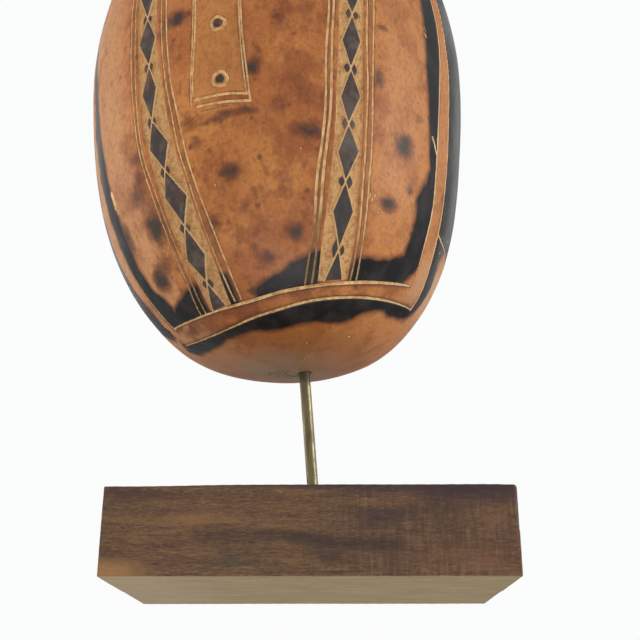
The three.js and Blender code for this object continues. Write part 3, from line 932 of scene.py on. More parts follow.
# ---- diamonds and lozenges stand; the rest of the two bands is lowered
standing = blank()
for points in right_diamonds + left_diamonds:
    standing = np.maximum(standing, area_distance(points, 4.0) - 0.06)
for axis, drop, shifts, sizes, low_count, low_sizes in LOZENGES:
    for i, (angle, height) in enumerate(axis[1:]):
        for k, side in enumerate((-1, 1)):
            half_x, half_y = (low_sizes if i >= len(axis) - 1 - low_count else sizes)[k]
            half_x *= 1 + 0.14 * math.sin(i * 2.3 + side)
            half_y *= 1 + 0.12 * math.sin(i * 3.1 + 2 * side)
            x, y = skin_offset(angle, height)
            x = x - side * shifts[k]
            y = y + drop + 0.15 * math.sin(i * 1.7 + side)
            inner = 1 - (np.abs(x) / half_x) ** 1.3 - (np.abs(y) / half_y) ** 1.3
            standing = np.maximum(standing, on_outer(np.clip(inner * 0.8, FAR, 0.9)))
bands = areas([between(*RIGHT_GROUND), between(*LEFT_GROUND)], 4.0)
ink = np.maximum(ink, np.minimum(standing, bands + 0.3))
ground = np.minimum(bands, -standing - 0.02)

# ---- scorching, with the neck's tip, and the strips left clean
burn = areas(BURNS)
tip_burn = np.clip(LENGTH - length_at(310.0) + 2.2 * skin_noise(14, shift=5.5), FAR, 6)
burn = np.maximum(burn, np.where(OUTER & (HEIGHT > 280), tip_burn, FAR))
collar = np.minimum(LENGTH - length_at(TOP), length_at(COLLAR_UPPER) - LENGTH) + 0.25
strip = np.maximum(areas(STRIPS), on_outer(collar))


def smoked_spots():
    """The listed spots, and random ones over the rest of the skin."""
    random = np.random.default_rng(SEED + 5)
    spots = list(SPOTS)
    while len(spots) < len(SPOTS) + 120:
        angle, height = random.uniform(-180, 180), random.uniform(8, 300)
        if (abs(angle + 6) < 66 and height < 104) or (abs(angle) < 26 and height > 170):
            continue
        size = random.uniform(1.2, 3.6)
        half_x, half_y = size * random.uniform(0.8, 1.5), size * random.uniform(0.8, 1.5)
        spots.append((angle, height, half_x, half_y, random.uniform(0.25, 1.0) ** 1.3))
    return spots


smoke = np.zeros(len(POINT))
drift_x, drift_y = skin_noise(7, shift=1.3) * 1.5, skin_noise(7, shift=9.1) * 1.5
for angle, height, half_x, half_y, strength in smoked_spots():
    widen = 0.92 + 0.16 * min(1, max(0, abs(angle) - 30) / 10)  # larger away from the front
    half_x, half_y = half_x * widen, half_y * widen
    pick = np.nonzero(OUTER & (np.abs(LENGTH - length_at(height)) < half_y * 3 + 2))[0]
    x, y = skin_offset(angle, height, pick)
    x, y = (x + drift_x[pick]) / half_x, (y + drift_y[pick]) / half_y
    spot = np.exp(-(x**2 + y**2) * 0.85)
    smoke[pick] = 1 - (1 - smoke[pick]) * (1 - strength * spot)

# ---- rasp notches: straight V cuts across the front of the shoulder and neck
notch = blank()
notch_depth = np.zeros(len(POINT))
WORN = 0.22  # rounding of the notches' edges


def worn_push(distance):
    return 0.5 * (-distance + np.sqrt(distance * distance + WORN**2))


_random = np.random.default_rng(SEED + 9)
for i in range(NOTCHES):
    height = NOTCH_FIRST + i * NOTCH_PITCH
    length = float(length_at(height))
    middle, _ = surface(0.0, length)
    taper = float(radius_at(length_at(height - 5)) - radius_at(length_at(height + 5)))
    tilt = math.atan2(taper, 10)
    outward = np.array([0, -math.cos(tilt), math.sin(tilt)])
    lean = math.atan(float(centre_x(height, slope=True))) + _random.normal() * 0.012
    up = np.array([math.sin(lean), math.sin(tilt), math.cos(tilt) * math.cos(lean)])
    up -= outward * (up @ outward)
    up /= np.linalg.norm(up)
    pick = np.nonzero(OUTER & (np.abs(LENGTH - length) < 6) & (np.abs(SIDE) < 80))[0]
    from_middle = POINT[pick] - (middle + up * _random.normal() * 0.08)
    depth = NOTCH_DEPTH + _random.normal() * 0.08
    slope = NOTCH_HALF / NOTCH_DEPTH
    # negative inside the cut
    distance = np.abs(from_middle @ up) / slope - depth - from_middle @ outward
    push = np.where(distance > 2.5, 0, worn_push(distance) - worn_push(2.5))
    notch_depth[pick] = np.maximum(notch_depth[pick], np.clip(push, 0, 2.6))
    notch[pick] = np.maximum(notch[pick], np.clip(-distance * 0.52, FAR, 1.2))

# ---- move the points
relief = 0.10 * skin_noise(22, shift=4.4, octaves=3) + 0.035 * skin_noise(6, shift=6.4)
# a shallow rough scar at the bottom
scar = np.exp(-((np.hypot(POINT[:, 0] - (bottom_x + 1.0), POINT[:, 1] - 2.0) / 6.0) ** 2)) * BOTTOM
relief = relief - 0.28 * scar * (0.5 + 0.5 * skin_noise(3.2, shift=12.2, octaves=3))
pucker = np.clip((HEIGHT - 333) / 8, 0, 1) * 0.22  # folds round the stem
relief = relief + pucker * np.sin(np.radians(ANGLE * 7)) * np.clip(RADIUS / 12, 0, 1)
chisel = fractal(POINT * [1.0, 1.0, 2.2], 1.5, shift=7.7)
band_depth = 0.55 * smooth(ground, -0.05, 0.32) * (1 + 0.22 * chisel)
# the blossom end: a slight swelling, and the flower's dried double ring beside the rod's hole
flower_x, flower_y = POINT[:, 0] - (bottom_x - 0.6), POINT[:, 1] - 3.4
flower_turn = np.arctan2(flower_y, flower_x)
flower_radius = (
    4.4 + 0.7 * np.sin(2 * flower_turn + 1.0) + 0.5 * np.sin(3 * flower_turn + 0.4)
    + 0.5 * skin_noise(3.0, shift=21.0)
)
from_flower = np.hypot(flower_x, flower_y) - flower_radius
ringed = np.minimum(
    0.26 * (1 + 0.9 * skin_noise(2.4, shift=31.0)) - np.abs(from_flower),
    0.35 + 2.6 * skin_noise(3.0, shift=41.0),
)
inner_ring = np.minimum(
    0.18 - np.abs(from_flower + 2.3 + 0.4 * skin_noise(2.0, shift=51.0)),
    0.6 + 2.6 * skin_noise(3.2, shift=61.0),
)
ringed = np.where(OUTER & BOTTOM, np.maximum(ringed, inner_ring), FAR)
swelling = 1.30 * np.exp(-((np.hypot(POINT[:, 0] - (hole_x - 1.5), POINT[:, 1] - 0.5) / 6.5) ** 2))
relief = relief + swelling * (POINT[:, 2] < GOURD_Z + 6)
crater = smooth(burn, -1.0, 1.2) * (1 - smooth(strip, -0.2, 0.1)) * 0.05
burr = np.where(ground < -0.2, 0.05 * np.exp(-((cut + 0.22) / 0.16) ** 2), 0)
carved_depth = np.maximum(groove, band_depth)
ring_depth = 0.22 * smooth(ringed, -0.12, 0.2)
offset = relief + dome - carved_depth - notch_depth - crater - ring_depth + burr
lining_rough = 0.45 * skin_noise(6, shift=1.1, octaves=3) + 0.25 * skin_noise(1.8, shift=6.1)
bore_rough = 0.05 * skin_noise(1.2, shift=2.1)
offset = on_outer(offset, 0.0) - SINK + np.where(ZONE == LINING, lining_rough, 0) * 0.8
offset = offset + np.where(ZONE == BORE, bore_rough, 0)

gourd = make_object(
    "gourd", POINT + NORMAL * offset[:, None], shell.quads, shell.tris,
    slots=shell.quad_slots + shell.tri_slots,
    attributes={
        "cut": np.maximum(cut, notch), "ground": ground, "ink": ink, "burn": burn,
        "strip": strip, "smoke": smoke, "inside": np.where(ZONE == LINING, 1.0, 0.0),
        "rim": on_outer(np.clip(SINK / EDGE_ROUNDING, 0, 1), 1.0),
        "depth": on_outer(np.maximum(groove, np.maximum(band_depth, notch_depth)), 0),
        "scar": scar, "height": HEIGHT, "scratch": scratch, "pair": pair, "zigzag": zigzag,
        "ringed": ringed, "side": SIDE, "clean": clean,
    },
)
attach(gourd, "gourd")
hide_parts("gourd_shell")


# ------------------------------------------------------------------ the walnut block
EDGE_STEPS = np.array([0, 0.18, 0.42, 0.75, 1.15, 1.6])  # grid lines beside each edge
HOLE_PATCH = 5.5  # half the square left open round the rod's hole


def block_axis(half):
    margin = EDGE_STEPS[-1]
    count = max(3, int(round((2 * half - 2 * margin) / (0.75))))
    inner = np.linspace(-half + margin, half - margin, count + 1)[1:-1]
    return np.r_[-half + EDGE_STEPS, inner, (half - EDGE_STEPS)[::-1]]


def block_grid(half, hole):
    """Points and quads of the box, and the outline of the opening in its top."""
    axes = [block_axis(h) for h in half]
    counts = [len(a) for a in axes]
    on_face = np.zeros(counts, bool)
    on_face[[0, -1], :, :] = on_face[:, [0, -1], :] = on_face[:, :, [0, -1]] = True
    where = np.argwhere(on_face)
    ids = -np.ones(counts, int)
    ids[tuple(where.T)] = np.arange(len(where))
    points = np.stack([axes[d][where[:, d]] for d in range(3)], 1)
    quads = []
    for d in range(3):
        for side in (0, -1):
            grid = np.take(ids, side, axis=d)
            if d == 1:
                grid = grid.T
            corners = [grid[:-1, :-1], grid[1:, :-1], grid[1:, 1:], grid[:-1, 1:]]
            skip = np.zeros(corners[0].shape, bool)
            if d == 2 and side == -1:
                i0, i1 = np.searchsorted(axes[0], [hole - HOLE_PATCH, hole + HOLE_PATCH])
                j0, j1 = np.searchsorted(axes[1], [-HOLE_PATCH, HOLE_PATCH])
                skip[i0:i1, j0:j1] = True
                border = outline(grid.T, j0, j1, i0, i1)
            if side == 0:
                corners = [corners[k] for k in (0, 3, 2, 1)]
            quads.append(np.stack(corners, -1)[~skip].reshape(-1, 4))
    return points, quads, border


def block_surface(points, half, hole):
    """Rounds the box's edges and adds saw ripple, planing, grain and dents."""
    edge = 0.62 + 0.30 * fractal(points, 18, shift=3.3, octaves=3)
    worn_corner = np.exp(-(((points[:, 0] - half[0]) / 5) ** 2))
    edge = edge * (1 - 0.45 * (points[:, 1] < 0))
    edge = edge + 0.75 * worn_corner * (points[:, 1] < 0) * (points[:, 2] > 0)
    edge = np.clip(edge, 0.26, 1.7)[:, None]
    core = np.clip(points, -(half - edge), half - edge)
    reach = points - core
    length = np.linalg.norm(reach, axis=1, keepdims=True)
    unit = reach / np.maximum(length, 1e-9)
    points = np.where(length > 1e-9, core + unit * edge, points)
    normals = np.where(length > 1e-9, unit, 0)
    facing = normals / np.maximum(np.abs(normals).max(1, keepdims=True), 1e-9)
    is_front, is_end = facing[:, 1] < -0.99, np.abs(facing[:, 0]) > 0.99
    x, y, z = points.T
    # saw ripple on the front, growing towards the right; planer waves elsewhere
    wave = 0.6 * np.sin(z * 0.2) + 1.2 * fractal(points, 12, shift=1.7)
    sawn = 0.035 * np.sin(x * 2 * math.pi / 1.9 + wave) * smooth(x, -18, 8)
    planed = 0.02 * np.sin(x * 2 * math.pi / 4.3 + 0.8 * fractal(points, 20, shift=4.1))
    grain = 0.045 * fractal(points * [0.10, 1.0, 1.0], 2.2, shift=8.8, octaves=3)
    end_grain = 0.05 * fractal(points, 1.4, shift=2.9)
    dents = -0.30 * smooth(fractal(points, 7.5, shift=14.4), 0.52, 0.85)
    push = np.where(is_front, sawn, planed) + np.where(is_end, end_grain, grain)
    push = push + dents * 0.6 - 0.05
    push = np.where((z > half[2] - 0.2) & (np.hypot(x - hole, y) < 8), 0, push)
    return points + normals * np.minimum(push, 0.12)[:, None]


def make_block():
    low, high = (np.array(c) * 1000 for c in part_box("base_block"))
    middle, half = (low + high) / 2, (high - low) / 2
    hole = ROD_X - middle[0]
    points, quads, previous = block_grid(half, hole)
    edge = points[previous][:, :2]
    turn = np.arctan2(edge[:, 1], edge[:, 0] - hole)
    circle = np.stack([hole + HOLE_RADIUS * np.cos(turn), HOLE_RADIUS * np.sin(turn)], -1)
    parts, total, count = [block_surface(points, half, hole)], len(points), len(turn)
    rings = []
    for share in np.linspace(0, 1, 9)[1:]:
        flat = edge + (circle - edge) * share
        away = np.hypot(flat[:, 0] - hole, flat[:, 1]) - HOLE_RADIUS
        rings.append(np.c_[flat, half[2] - rounded_edge(away, 0.25)])
    hole_depth = 20.0
    for depth in (0.6, 2, 5, 10, 15, hole_depth):
        x = circle[:, 0] - ROD_LEAN * depth
        rings.append(np.c_[x, circle[:, 1], np.full(count, half[2] - depth)])
    for ring in rings:
        new = np.arange(total, total + count)
        parts.append(ring)
        quads.append(ring_quads(previous, new))
        previous, total = new, total + count
    parts.append(np.array([[hole + 1.5, 0, half[2] - hole_depth]]))
    points = np.concatenate(parts)
    # sawn by hand: a little wider than nominal, its top lower at the left end
    top_share = np.clip((points[:, 2] + half[2]) / (2 * half[2]), 0, 1)
    points[:, 2] += top_share * (0.42 * smooth(points[:, 0], -52, -14) - 0.10)
    excess = 0.30 + 0.18 * top_share * (points[:, 0] > 0)
    excess = excess * smooth(np.abs(points[:, 0]), 20, 50)
    points[:, 0] += np.clip(points[:, 0] / half[0], -1, 1) * excess
    return make_object("stand_block", points + middle, quads, [fan(previous, total)])


block = make_block()
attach(block, "base")
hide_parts("base_block")


# ------------------------------------------------------------------ the rod
def make_rod():
    sides = 64
    low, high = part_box("support_rod")
    bottom, top = low.z * 1000 + 0.05, high.z * 1000 - 0.05
    middle = np.arange(bottom + 1.5, top - 1.2, 1.5)
    levels = np.r_[
        bottom, bottom, bottom + 0.25, bottom + 0.5, middle, top - 0.5, top - 0.25, top, top
    ]
    radius = np.full(len(levels), ROD_RADIUS)
    radius[[0, -1]] = 0.0
    radius[[1, -2]] = ROD_RADIUS - 0.3
    radius[[2, -3]] = ROD_RADIUS - 0.08
    turn = np.arange(sides) / sides * 2 * math.pi
    z, around = np.meshgrid(levels, turn, indexing="ij")
    x = rod_x(z) + radius[:, None] * np.cos(around)
    points = np.stack([x, radius[:, None] * np.sin(around), z], -1)
    outward = np.stack([np.cos(turn), np.sin(turn), np.zeros(sides)], -1)
    drawn = 0.012 * fractal(points.reshape(-1, 3) * [3, 3, 0.35], 3.0, shift=5.0) - 0.015
    drawn = drawn.reshape(len(levels), sides) * (radius > 1)[:, None]
    points += outward[None] * drawn[..., None]
    return make_turned("stand_rod", points, len(levels), sides)


rod = make_rod()
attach(rod, "rod")
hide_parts("support_rod")


# ------------------------------------------------------------------ the dried stem
STEM_PROFILE = [  # height above its foot, radius
    (0, 0.0), (0, 3.5), (0, 6.6), (0.25, 7.0), (0.8, 6.9), (2.2, 6.4), (3.8, 5.6), (5.5, 4.9),
    (7.5, 4.5), (10, 4.25), (12, 4.3), (14, 4.5), (15.5, 4.85), (17, 5.15), (17.7, 4.95),
    (18.05, 4.3), (18.0, 3.4), (17.6, 2.4), (17.3, 1.3), (17.2, 0.0),
]


def make_stem():
    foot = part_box("gourd_stem")[0].z * 1000
    sides, levels = ((120, 90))
    heights, radii = np.array(STEM_PROFILE, float).T
    distance = travelled(heights, radii)
    query = np.linspace(0, 1, levels) * distance[-1]
    turn = np.arange(sides) / sides * 2 * math.pi
    z, turn = np.meshgrid(np.interp(query, distance, heights), turn, indexing="ij")
    radius = np.repeat(np.interp(query, distance, radii)[:, None], sides, 1)
    twist = turn + z * 0.035
    ridge = 0.055 * np.cos(5 * twist + 0.6) + 0.03 * np.cos(8 * twist + 2.0)
    fibre = 0.022 * np.cos(31 * twist + 2 * np.sin(z * 0.4)) + 0.012 * np.cos(47 * twist + 1.5)
    radius = radius * (0.93 + (ridge + fibre) * np.clip(radius / 3, 0, 1))
    points = np.stack([radius * np.cos(turn), radius * np.sin(turn), z], -1).reshape(-1, 3)
    bend = [fractal(points, 4, shift=1.0), fractal(points, 4, shift=7.0), np.zeros(len(points))]
    points += 0.12 * np.stack(bend, -1)
    top = np.clip((points[:, 2] - 15) / 3, 0, 1)
    broken = fractal(points * [1, 1, 0.2], 2.5, shift=4.0, octaves=3)
    points[:, 2] -= top * (0.35 + 0.45 * broken)
    points[:, 2] = np.maximum(points[:, 2], 0)
    points[:, 0] += float(centre_x(GOURD_HEIGHT)) - 0.012 * points[:, 2] ** 2
    points[:, 2] += foot
    return make_turned("dried_stem", points, levels, sides)


stem = make_stem()
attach(stem, "gourd")
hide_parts("gourd_stem")


# ------------------------------------------------------------------ material building
class Signal:
    """A shader value. Arithmetic on it adds math nodes."""

    def __init__(self, graph, socket):
        self.graph, self.socket = graph, socket

    def math(self, operation, other=None):
        return self.graph.math(operation, self, other)

    def __add__(self, other):
        return self.math("ADD", other)

    def __radd__(self, other):
        return self.graph.math("ADD", other, self)

    def __sub__(self, other):
        return self.math("SUBTRACT", other)

    def __rsub__(self, other):
        return self.graph.math("SUBTRACT", other, self)

    def __mul__(self, other):
        return self.math("MULTIPLY", other)

    def swing(self, amount):
        """Noise centred on zero, times the amount."""
        return (self - 0.5) * amount

    def ramp(self, over, to=(0.0, 1.0)):
        """Smooth step between the two values of `to` as this runs over a range."""
        inputs = dict(enumerate((self, *over, *to)))
        return self.graph.signal("ShaderNodeMapRange", inputs, interpolation_type="SMOOTHSTEP")

    def fall(self, over):
        return self.ramp(over, to=(1, 0))

    def mix(self, low, high):
        """The colour `low` where this is 0, `high` where it is 1."""
        inputs = {"Factor": self, 6: low, 7: high}
        return self.graph.signal("ShaderNodeMix", inputs, 2, data_type="RGBA", blend_type="MIX")

    def mix_value(self, low, high):
        inputs = {0: self, 2: low, 3: high}
        return self.graph.signal("ShaderNodeMix", inputs, data_type="FLOAT")

    def tint(self, mask, tone, amount=None):
        """This colour, with the tone laid over it where the mask is 1."""
        return (mask if amount is None else mask * amount).mix(self, tone)


class Graph:
    """A material and its nodes. Sizes are in mm of object space."""

    def __init__(self, name):
        self.material = bpy.data.materials.new(name)
        self.material.use_nodes = True
        self.tree = self.material.node_tree
        self.tree.nodes.clear()
        self.output = self.node("ShaderNodeOutputMaterial")
        self.shader = self.node("ShaderNodeBsdfPrincipled")
        self.tree.links.new(self.shader.outputs[0], self.output.inputs[0])
        self.place = self.signal("ShaderNodeTexCoord", output="Object")

    def put(self, socket, value):
        if isinstance(value, Signal):
            self.tree.links.new(value.socket, socket)
        elif value is not None:
            socket.default_value = (*value, 1) if socket.type == "RGBA" else value

    def node(self, kind, inputs=None, **settings):
        node = self.tree.nodes.new(kind)
        for key, value in settings.items():
            setattr(node, key, value)
        for key, value in (inputs or {}).items():
            self.put(node.inputs[key], value)
        return node

    def signal(self, kind, inputs=None, output=0, **settings):
        return Signal(self, self.node(kind, inputs, **settings).outputs[output])

    def math(self, operation, first, second=None):
        return self.signal("ShaderNodeMath", {0: first, 1: second}, operation=operation)

    def attribute(self, name):
        return self.signal("ShaderNodeAttribute", output="Fac", attribute_name=name)

    def mapped(self, scale=(1, 1, 1), shift=(0, 0, 0)):
        """Places in mm; a scale of 1/8 makes features 8 times longer along that axis."""
        inputs = {"Vector": self.place, "Scale": [1000 * k for k in scale], "Location": shift}
        return self.signal("ShaderNodeMapping", inputs)

    def split(self, vector):
        node = self.node("ShaderNodeSeparateXYZ", {0: vector})
        return [Signal(self, socket) for socket in node.outputs]

    def noise(self, size, detail=3, rough=0.5, **mapping):
        """Noise from 0 to 1, centred on 0.5, with features of about `size` mm."""
        return self.signal("ShaderNodeTexNoise", {
            "Vector": self.mapped(**mapping), "Scale": 1.0 / size,
            "Detail": detail, "Roughness": rough,
        })

    def voronoi(self, size, **mapping):
        inputs = {"Vector": self.mapped(**mapping), "Scale": 1.0 / size}
        return self.signal("ShaderNodeTexVoronoi", inputs)

    def bump(self, height, distance, strength, normal=None):
        """`distance` is the relief in mm."""
        return self.signal("ShaderNodeBump", {
            "Height": height, "Distance": distance * MILLI, "Strength": strength, "Normal": normal,
        })

    def finish(self, inputs):
        for key, value in inputs.items():
            self.put(self.shader.inputs[key], value)
        return self.material


# ------------------------------------------------------------------ the gourd's materials
def bare_skin(tex, cloud, patch, blotch, fine, side, height):
    """The uncarved, unburnt skin."""
    # redder in the middle, a paler orange towards the right border; the pale pink on the left
    # border is painted sheen
    pale_side = side.ramp(over=(27, 36)).math("MAXIMUM", side.ramp(over=(-40, -52)))
    color = (cloud + pale_side * 0.16).ramp(over=(0.38, 0.66))
    color = color.mix(low=(0.410, 0.132, 0.034), high=(0.560, 0.215, 0.055))
    side_amount = side.ramp(over=(-5, 5), to=(0.60, 0.45))
    border_tone_left_sheen = side.ramp(over=(-5, 5)).mix(low=(0.600, 0.300, 0.135), high=(0.555, 0.222, 0.070))
    color = color.tint(pale_side, amount=side_amount, tone=border_tone_left_sheen)
    clean = tex.attribute("clean").ramp(over=(-0.3, 1.2))
    color = color.tint(clean, amount=0.70, tone=(0.520, 0.215, 0.055))
    # mottling, calmer in the button panel and towards the borders
    calm = 1.0 - (clean * 0.75).math("MAXIMUM", pale_side * 0.35)
    mottle = patch.ramp(over=(0.47, 0.64)) * 0.62
    color = color.tint(mottle, amount=calm, tone=(0.245, 0.066, 0.022))
    calm = 1.0 - (clean * 0.70).math("MAXIMUM", pale_side * 0.60)
    mottle = blotch.ramp(over=(0.52, 0.70)) * 0.55
    color = color.tint(mottle, amount=calm, tone=(0.205, 0.054, 0.020))
    mottle = fine.ramp(over=(0.52, 0.74)) * 0.36
    color = color.tint(mottle, amount=calm, tone=(0.225, 0.066, 0.023))
    color = color.tint(fine.fall(over=(0.30, 0.46)), amount=0.14, tone=(0.70, 0.34, 0.13))
    grainy = tex.noise(size=1.15, rough=0.68, scale=(1, 1, 0.75), shift=(61, 8, 21))
    grain_amount = height.ramp(over=(3.0, 11.0), to=(0.25, 1.0))
    mottle = grainy.ramp(over=(0.50, 0.62)) * 0.32
    color = color.tint(mottle, amount=grain_amount, tone=(0.235, 0.070, 0.024))
    color = color.tint(grainy.fall(over=(0.34, 0.46)), amount=0.14, tone=(0.66, 0.28, 0.095))
    specks = tex.noise(size=0.85, detail=1, shift=(9, 2, 4)).ramp(over=(0.70, 0.76))
    color = color.tint(specks, amount=0.40, tone=(0.14, 0.042, 0.020))
    specks = tex.noise(size=1.3, detail=1, shift=(19, 22, 4)).ramp(over=(0.74, 0.79))
    color = color.tint(specks, amount=0.30, tone=(0.70, 0.40, 0.20))
    # freckles, in loose groups
    freckles = tex.voronoi(size=4.3, scale=(1, 1, 0.9), shift=(17, 5, 2)) + fine.swing(0.32)
    freckles = freckles.ramp(over=(0.270, 0.090))
    groups = tex.noise(size=7.5, detail=2, rough=0.55, shift=(33, 3, 71)).ramp(over=(0.42, 0.54))
    color = color.tint(freckles * groups, amount=calm * 0.74, tone=(0.165, 0.045, 0.020))
    # the strips between the double lines took the smoke
    pair = tex.attribute("pair").ramp(over=(-0.30, 0.10))
    pair_amount = blotch.ramp(over=(0.35, 0.60), to=(0.22, 0.66))
    color = color.tint(pair, amount=pair_amount, tone=(0.235, 0.088, 0.031))
    # painted shade darkens the bottom; the olive-grey lowest band is the blossom end's colour plus
    # a painted floor reflection
    bottom_shade_painted = (height + patch.swing(2)).ramp(over=(7.5, 4.0))
    bottom_shade_painted = bottom_shade_painted * tex.split(tex.mapped())[0].ramp(over=(48, 8))
    color = color.tint(bottom_shade_painted, amount=0.46, tone=(0.255, 0.092, 0.024))
    olive_end_and_floor_sheen = (height + patch.swing(2.2)).fall(over=(0.2, 3.0))
    color = color.tint(olive_end_and_floor_sheen, amount=0.62, tone=(0.285, 0.200, 0.112))
    # a painted sheen: a pale patch low on the right
    pale = side.ramp(over=(58, 66)) * height.ramp(over=(36, 28)) * height.ramp(over=(13, 21))
    color = color.tint(pale, amount=0.40, tone=(0.640, 0.370, 0.200))
    scar = tex.attribute("scar")
    scar_tone = tex.noise(size=1.1, rough=0.7).ramp(over=(0.42, 0.6))
    scar_tone = scar_tone.mix(low=(0.05, 0.038, 0.03), high=(0.34, 0.27, 0.18))
    color = color.tint(scar, amount=0.55, tone=scar_tone)
    ringed = tex.attribute("ringed").ramp(over=(-0.24, 0.14))
    return color.tint(ringed, amount=0.62, tone=(0.100, 0.070, 0.046))


def smoked_and_scorched(tex, color, patch, height):
    """Adds smoke, the scorched areas and the hem's darker strip; also returns the char mask."""
    smoke = tex.attribute("smoke")
    mottle = tex.noise(size=2.2, rough=0.65).swing(0.7)
    smoke = smoke + mottle * tex.attribute("smoke").ramp(over=(0.02, 0.3))
    color = color.tint(smoke.ramp(over=(0.05, 0.55)), amount=0.80, tone=(0.150, 0.048, 0.022))
    color = color.tint(smoke.ramp(over=(0.42, 0.90)), amount=0.90, tone=(0.044, 0.035, 0.029))
    # scorched areas, with a brown edge
    edge = tex.noise(size=5.0, detail=4, rough=0.6, scale=(1, 1, 0.75)).swing(3.2)
    burn = tex.attribute("burn") + edge
    spare = tex.attribute("strip").fall(over=(-0.35, 0.05))
    halo = burn.ramp(over=(-2.4, 0.0)) * spare
    char = burn.ramp(over=(-0.62, 0.45)) * spare
    color = color.tint(halo, amount=0.88, tone=(0.105, 0.033, 0.015))
    char_tone = tex.noise(size=8, rough=0.6, scale=(1, 1, 0.5), shift=(5, 5, 60))
    char_tone = char_tone.ramp(over=(0.42, 0.66))
    char_tone = char_tone.mix(low=(0.0105, 0.0098, 0.0105), high=(0.030, 0.0255, 0.0235))
    embers = tex.noise(size=1.8, detail=2, rough=0.6, shift=(33, 5, 6)).ramp(over=(0.62, 0.72))
    char_tone = char_tone.tint(embers, amount=0.25, tone=(0.095, 0.042, 0.024))
    color = color.tint(char, tone=char_tone)
    # the hem's strip is a darker red-brown than the skin round it
    strip = tex.attribute("strip")
    hem = strip.ramp(over=(-0.1, 0.2)) * height.ramp(over=(25, 17))
    hem_amount = patch.ramp(over=(0.40, 0.60), to=(0.10, 0.48))
    color = color.tint(hem, amount=hem_amount, tone=(0.22, 0.064, 0.024))
    shade = strip + tex.noise(size=3.2, detail=4, rough=0.6, shift=(51, 3, 13)).swing(3.4)
    shade = shade.ramp(over=(1.9, 0.2))
    return color.tint(shade * hem, amount=0.62, tone=(0.090, 0.033, 0.017)), char


def inked(tex, color, side, height):
    """Adds the burnt-in diamonds, lozenges and buttons."""
    ink = tex.attribute("ink") + tex.noise(size=0.8, detail=2).swing(0.20)
    tone = tex.noise(size=2.8, rough=0.65, scale=(1, 1, 0.6), shift=(7, 1, 2))
    tone = tone.ramp(over=(0.42, 0.68)).mix(low=(0.056, 0.042, 0.036), high=(0.122, 0.086, 0.069))
    brown = tex.noise(size=7, detail=2, shift=(70, 1, 2)).ramp(over=(0.56, 0.68))
    tone = tone.tint(brown, amount=0.45, tone=(0.150, 0.070, 0.042))
    # the right band's diamonds are paler at mid height and blackest low down
    paler_middle = height.ramp(over=(48, 53)) * height.ramp(over=(70, 62))
    tone = tone.tint(paler_middle, amount=side.ramp(over=(8, 12)) * 0.55, tone=(0.150, 0.113, 0.098))
    low = height.ramp(over=(49, 43))
    tone = tone.tint(low, amount=side.ramp(over=(8, 12)) * 0.62, tone=(0.040, 0.040, 0.039))
    return color.tint(ink.ramp(over=(-0.05, 0.12)), tone=tone)


def lowered_ground(tex, side):
    """The mask, colour and fibre noise of the bands' scraped flesh."""
    mask = tex.attribute("ground") + tex.noise(size=0.7, detail=2, shift=(6, 6, 6)).swing(0.18)
    fibre = tex.noise(size=1.2, detail=4, rough=0.7, scale=(1.15, 1.15, 0.5), shift=(1, 2, 3))
    tone = fibre.ramp(over=(0.28, 0.62)).mix(low=(0.380, 0.185, 0.074), high=(0.660, 0.385, 0.162))
    patches = tex.noise(size=5.5, detail=2, scale=(1, 1, 0.6), shift=(2, 20, 2))
    tone = tone.tint(patches.ramp(over=(0.50, 0.70)), amount=0.45, tone=(0.415, 0.185, 0.062))
    specks = tex.noise(size=0.8, detail=2, scale=(1, 1, 0.8), shift=(28, 1, 9))
    tone = tone.tint(specks.ramp(over=(0.64, 0.72)), amount=0.55, tone=(0.120, 0.055, 0.026))
    ticks = tex.noise(size=0.75, detail=1, scale=(0.40, 0.40, 1.5), shift=(3, 1, 9))
    tone = tone.tint(ticks.ramp(over=(0.645, 0.70)), amount=0.52, tone=(0.170, 0.074, 0.032))
    # painted shade: the left band's ground is darkened to offset the stronger light on the left
    left = side.ramp(over=(-20, -26), to=(0, 0.22))
    tone = tone.tint(left, tone=(0.30, 0.135, 0.055))
    return mask.ramp(over=(-0.02, 0.14)), tone, fibre


def shade_painted_on_edges(tex, color, cut, height):
    """Adds painted shade: a dark rim along each cut line's edge."""
    rim = cut.ramp(over=(-0.42, -0.12)) * cut.ramp(over=(0.05, -0.08))
    breaks = tex.noise(size=2.6, detail=2, scale=(1, 1, 0.4), shift=(31, 2, 2))
    rim = rim * breaks.ramp(over=(0.38, 0.60))
    hem = tex.attribute("strip").ramp(over=(-0.25, 0.10)) * height.ramp(over=(25, 19))
    hem_edge_shade = cut.ramp(over=(-0.50, -0.14)) * cut.ramp(over=(0.05, -0.06)) * hem
    edge_shades = (rim * 0.55).math("MAXIMUM", hem_edge_shade * 0.78)
    return color.tint(edge_shades, amount=1.0, tone=(0.085, 0.032, 0.016))


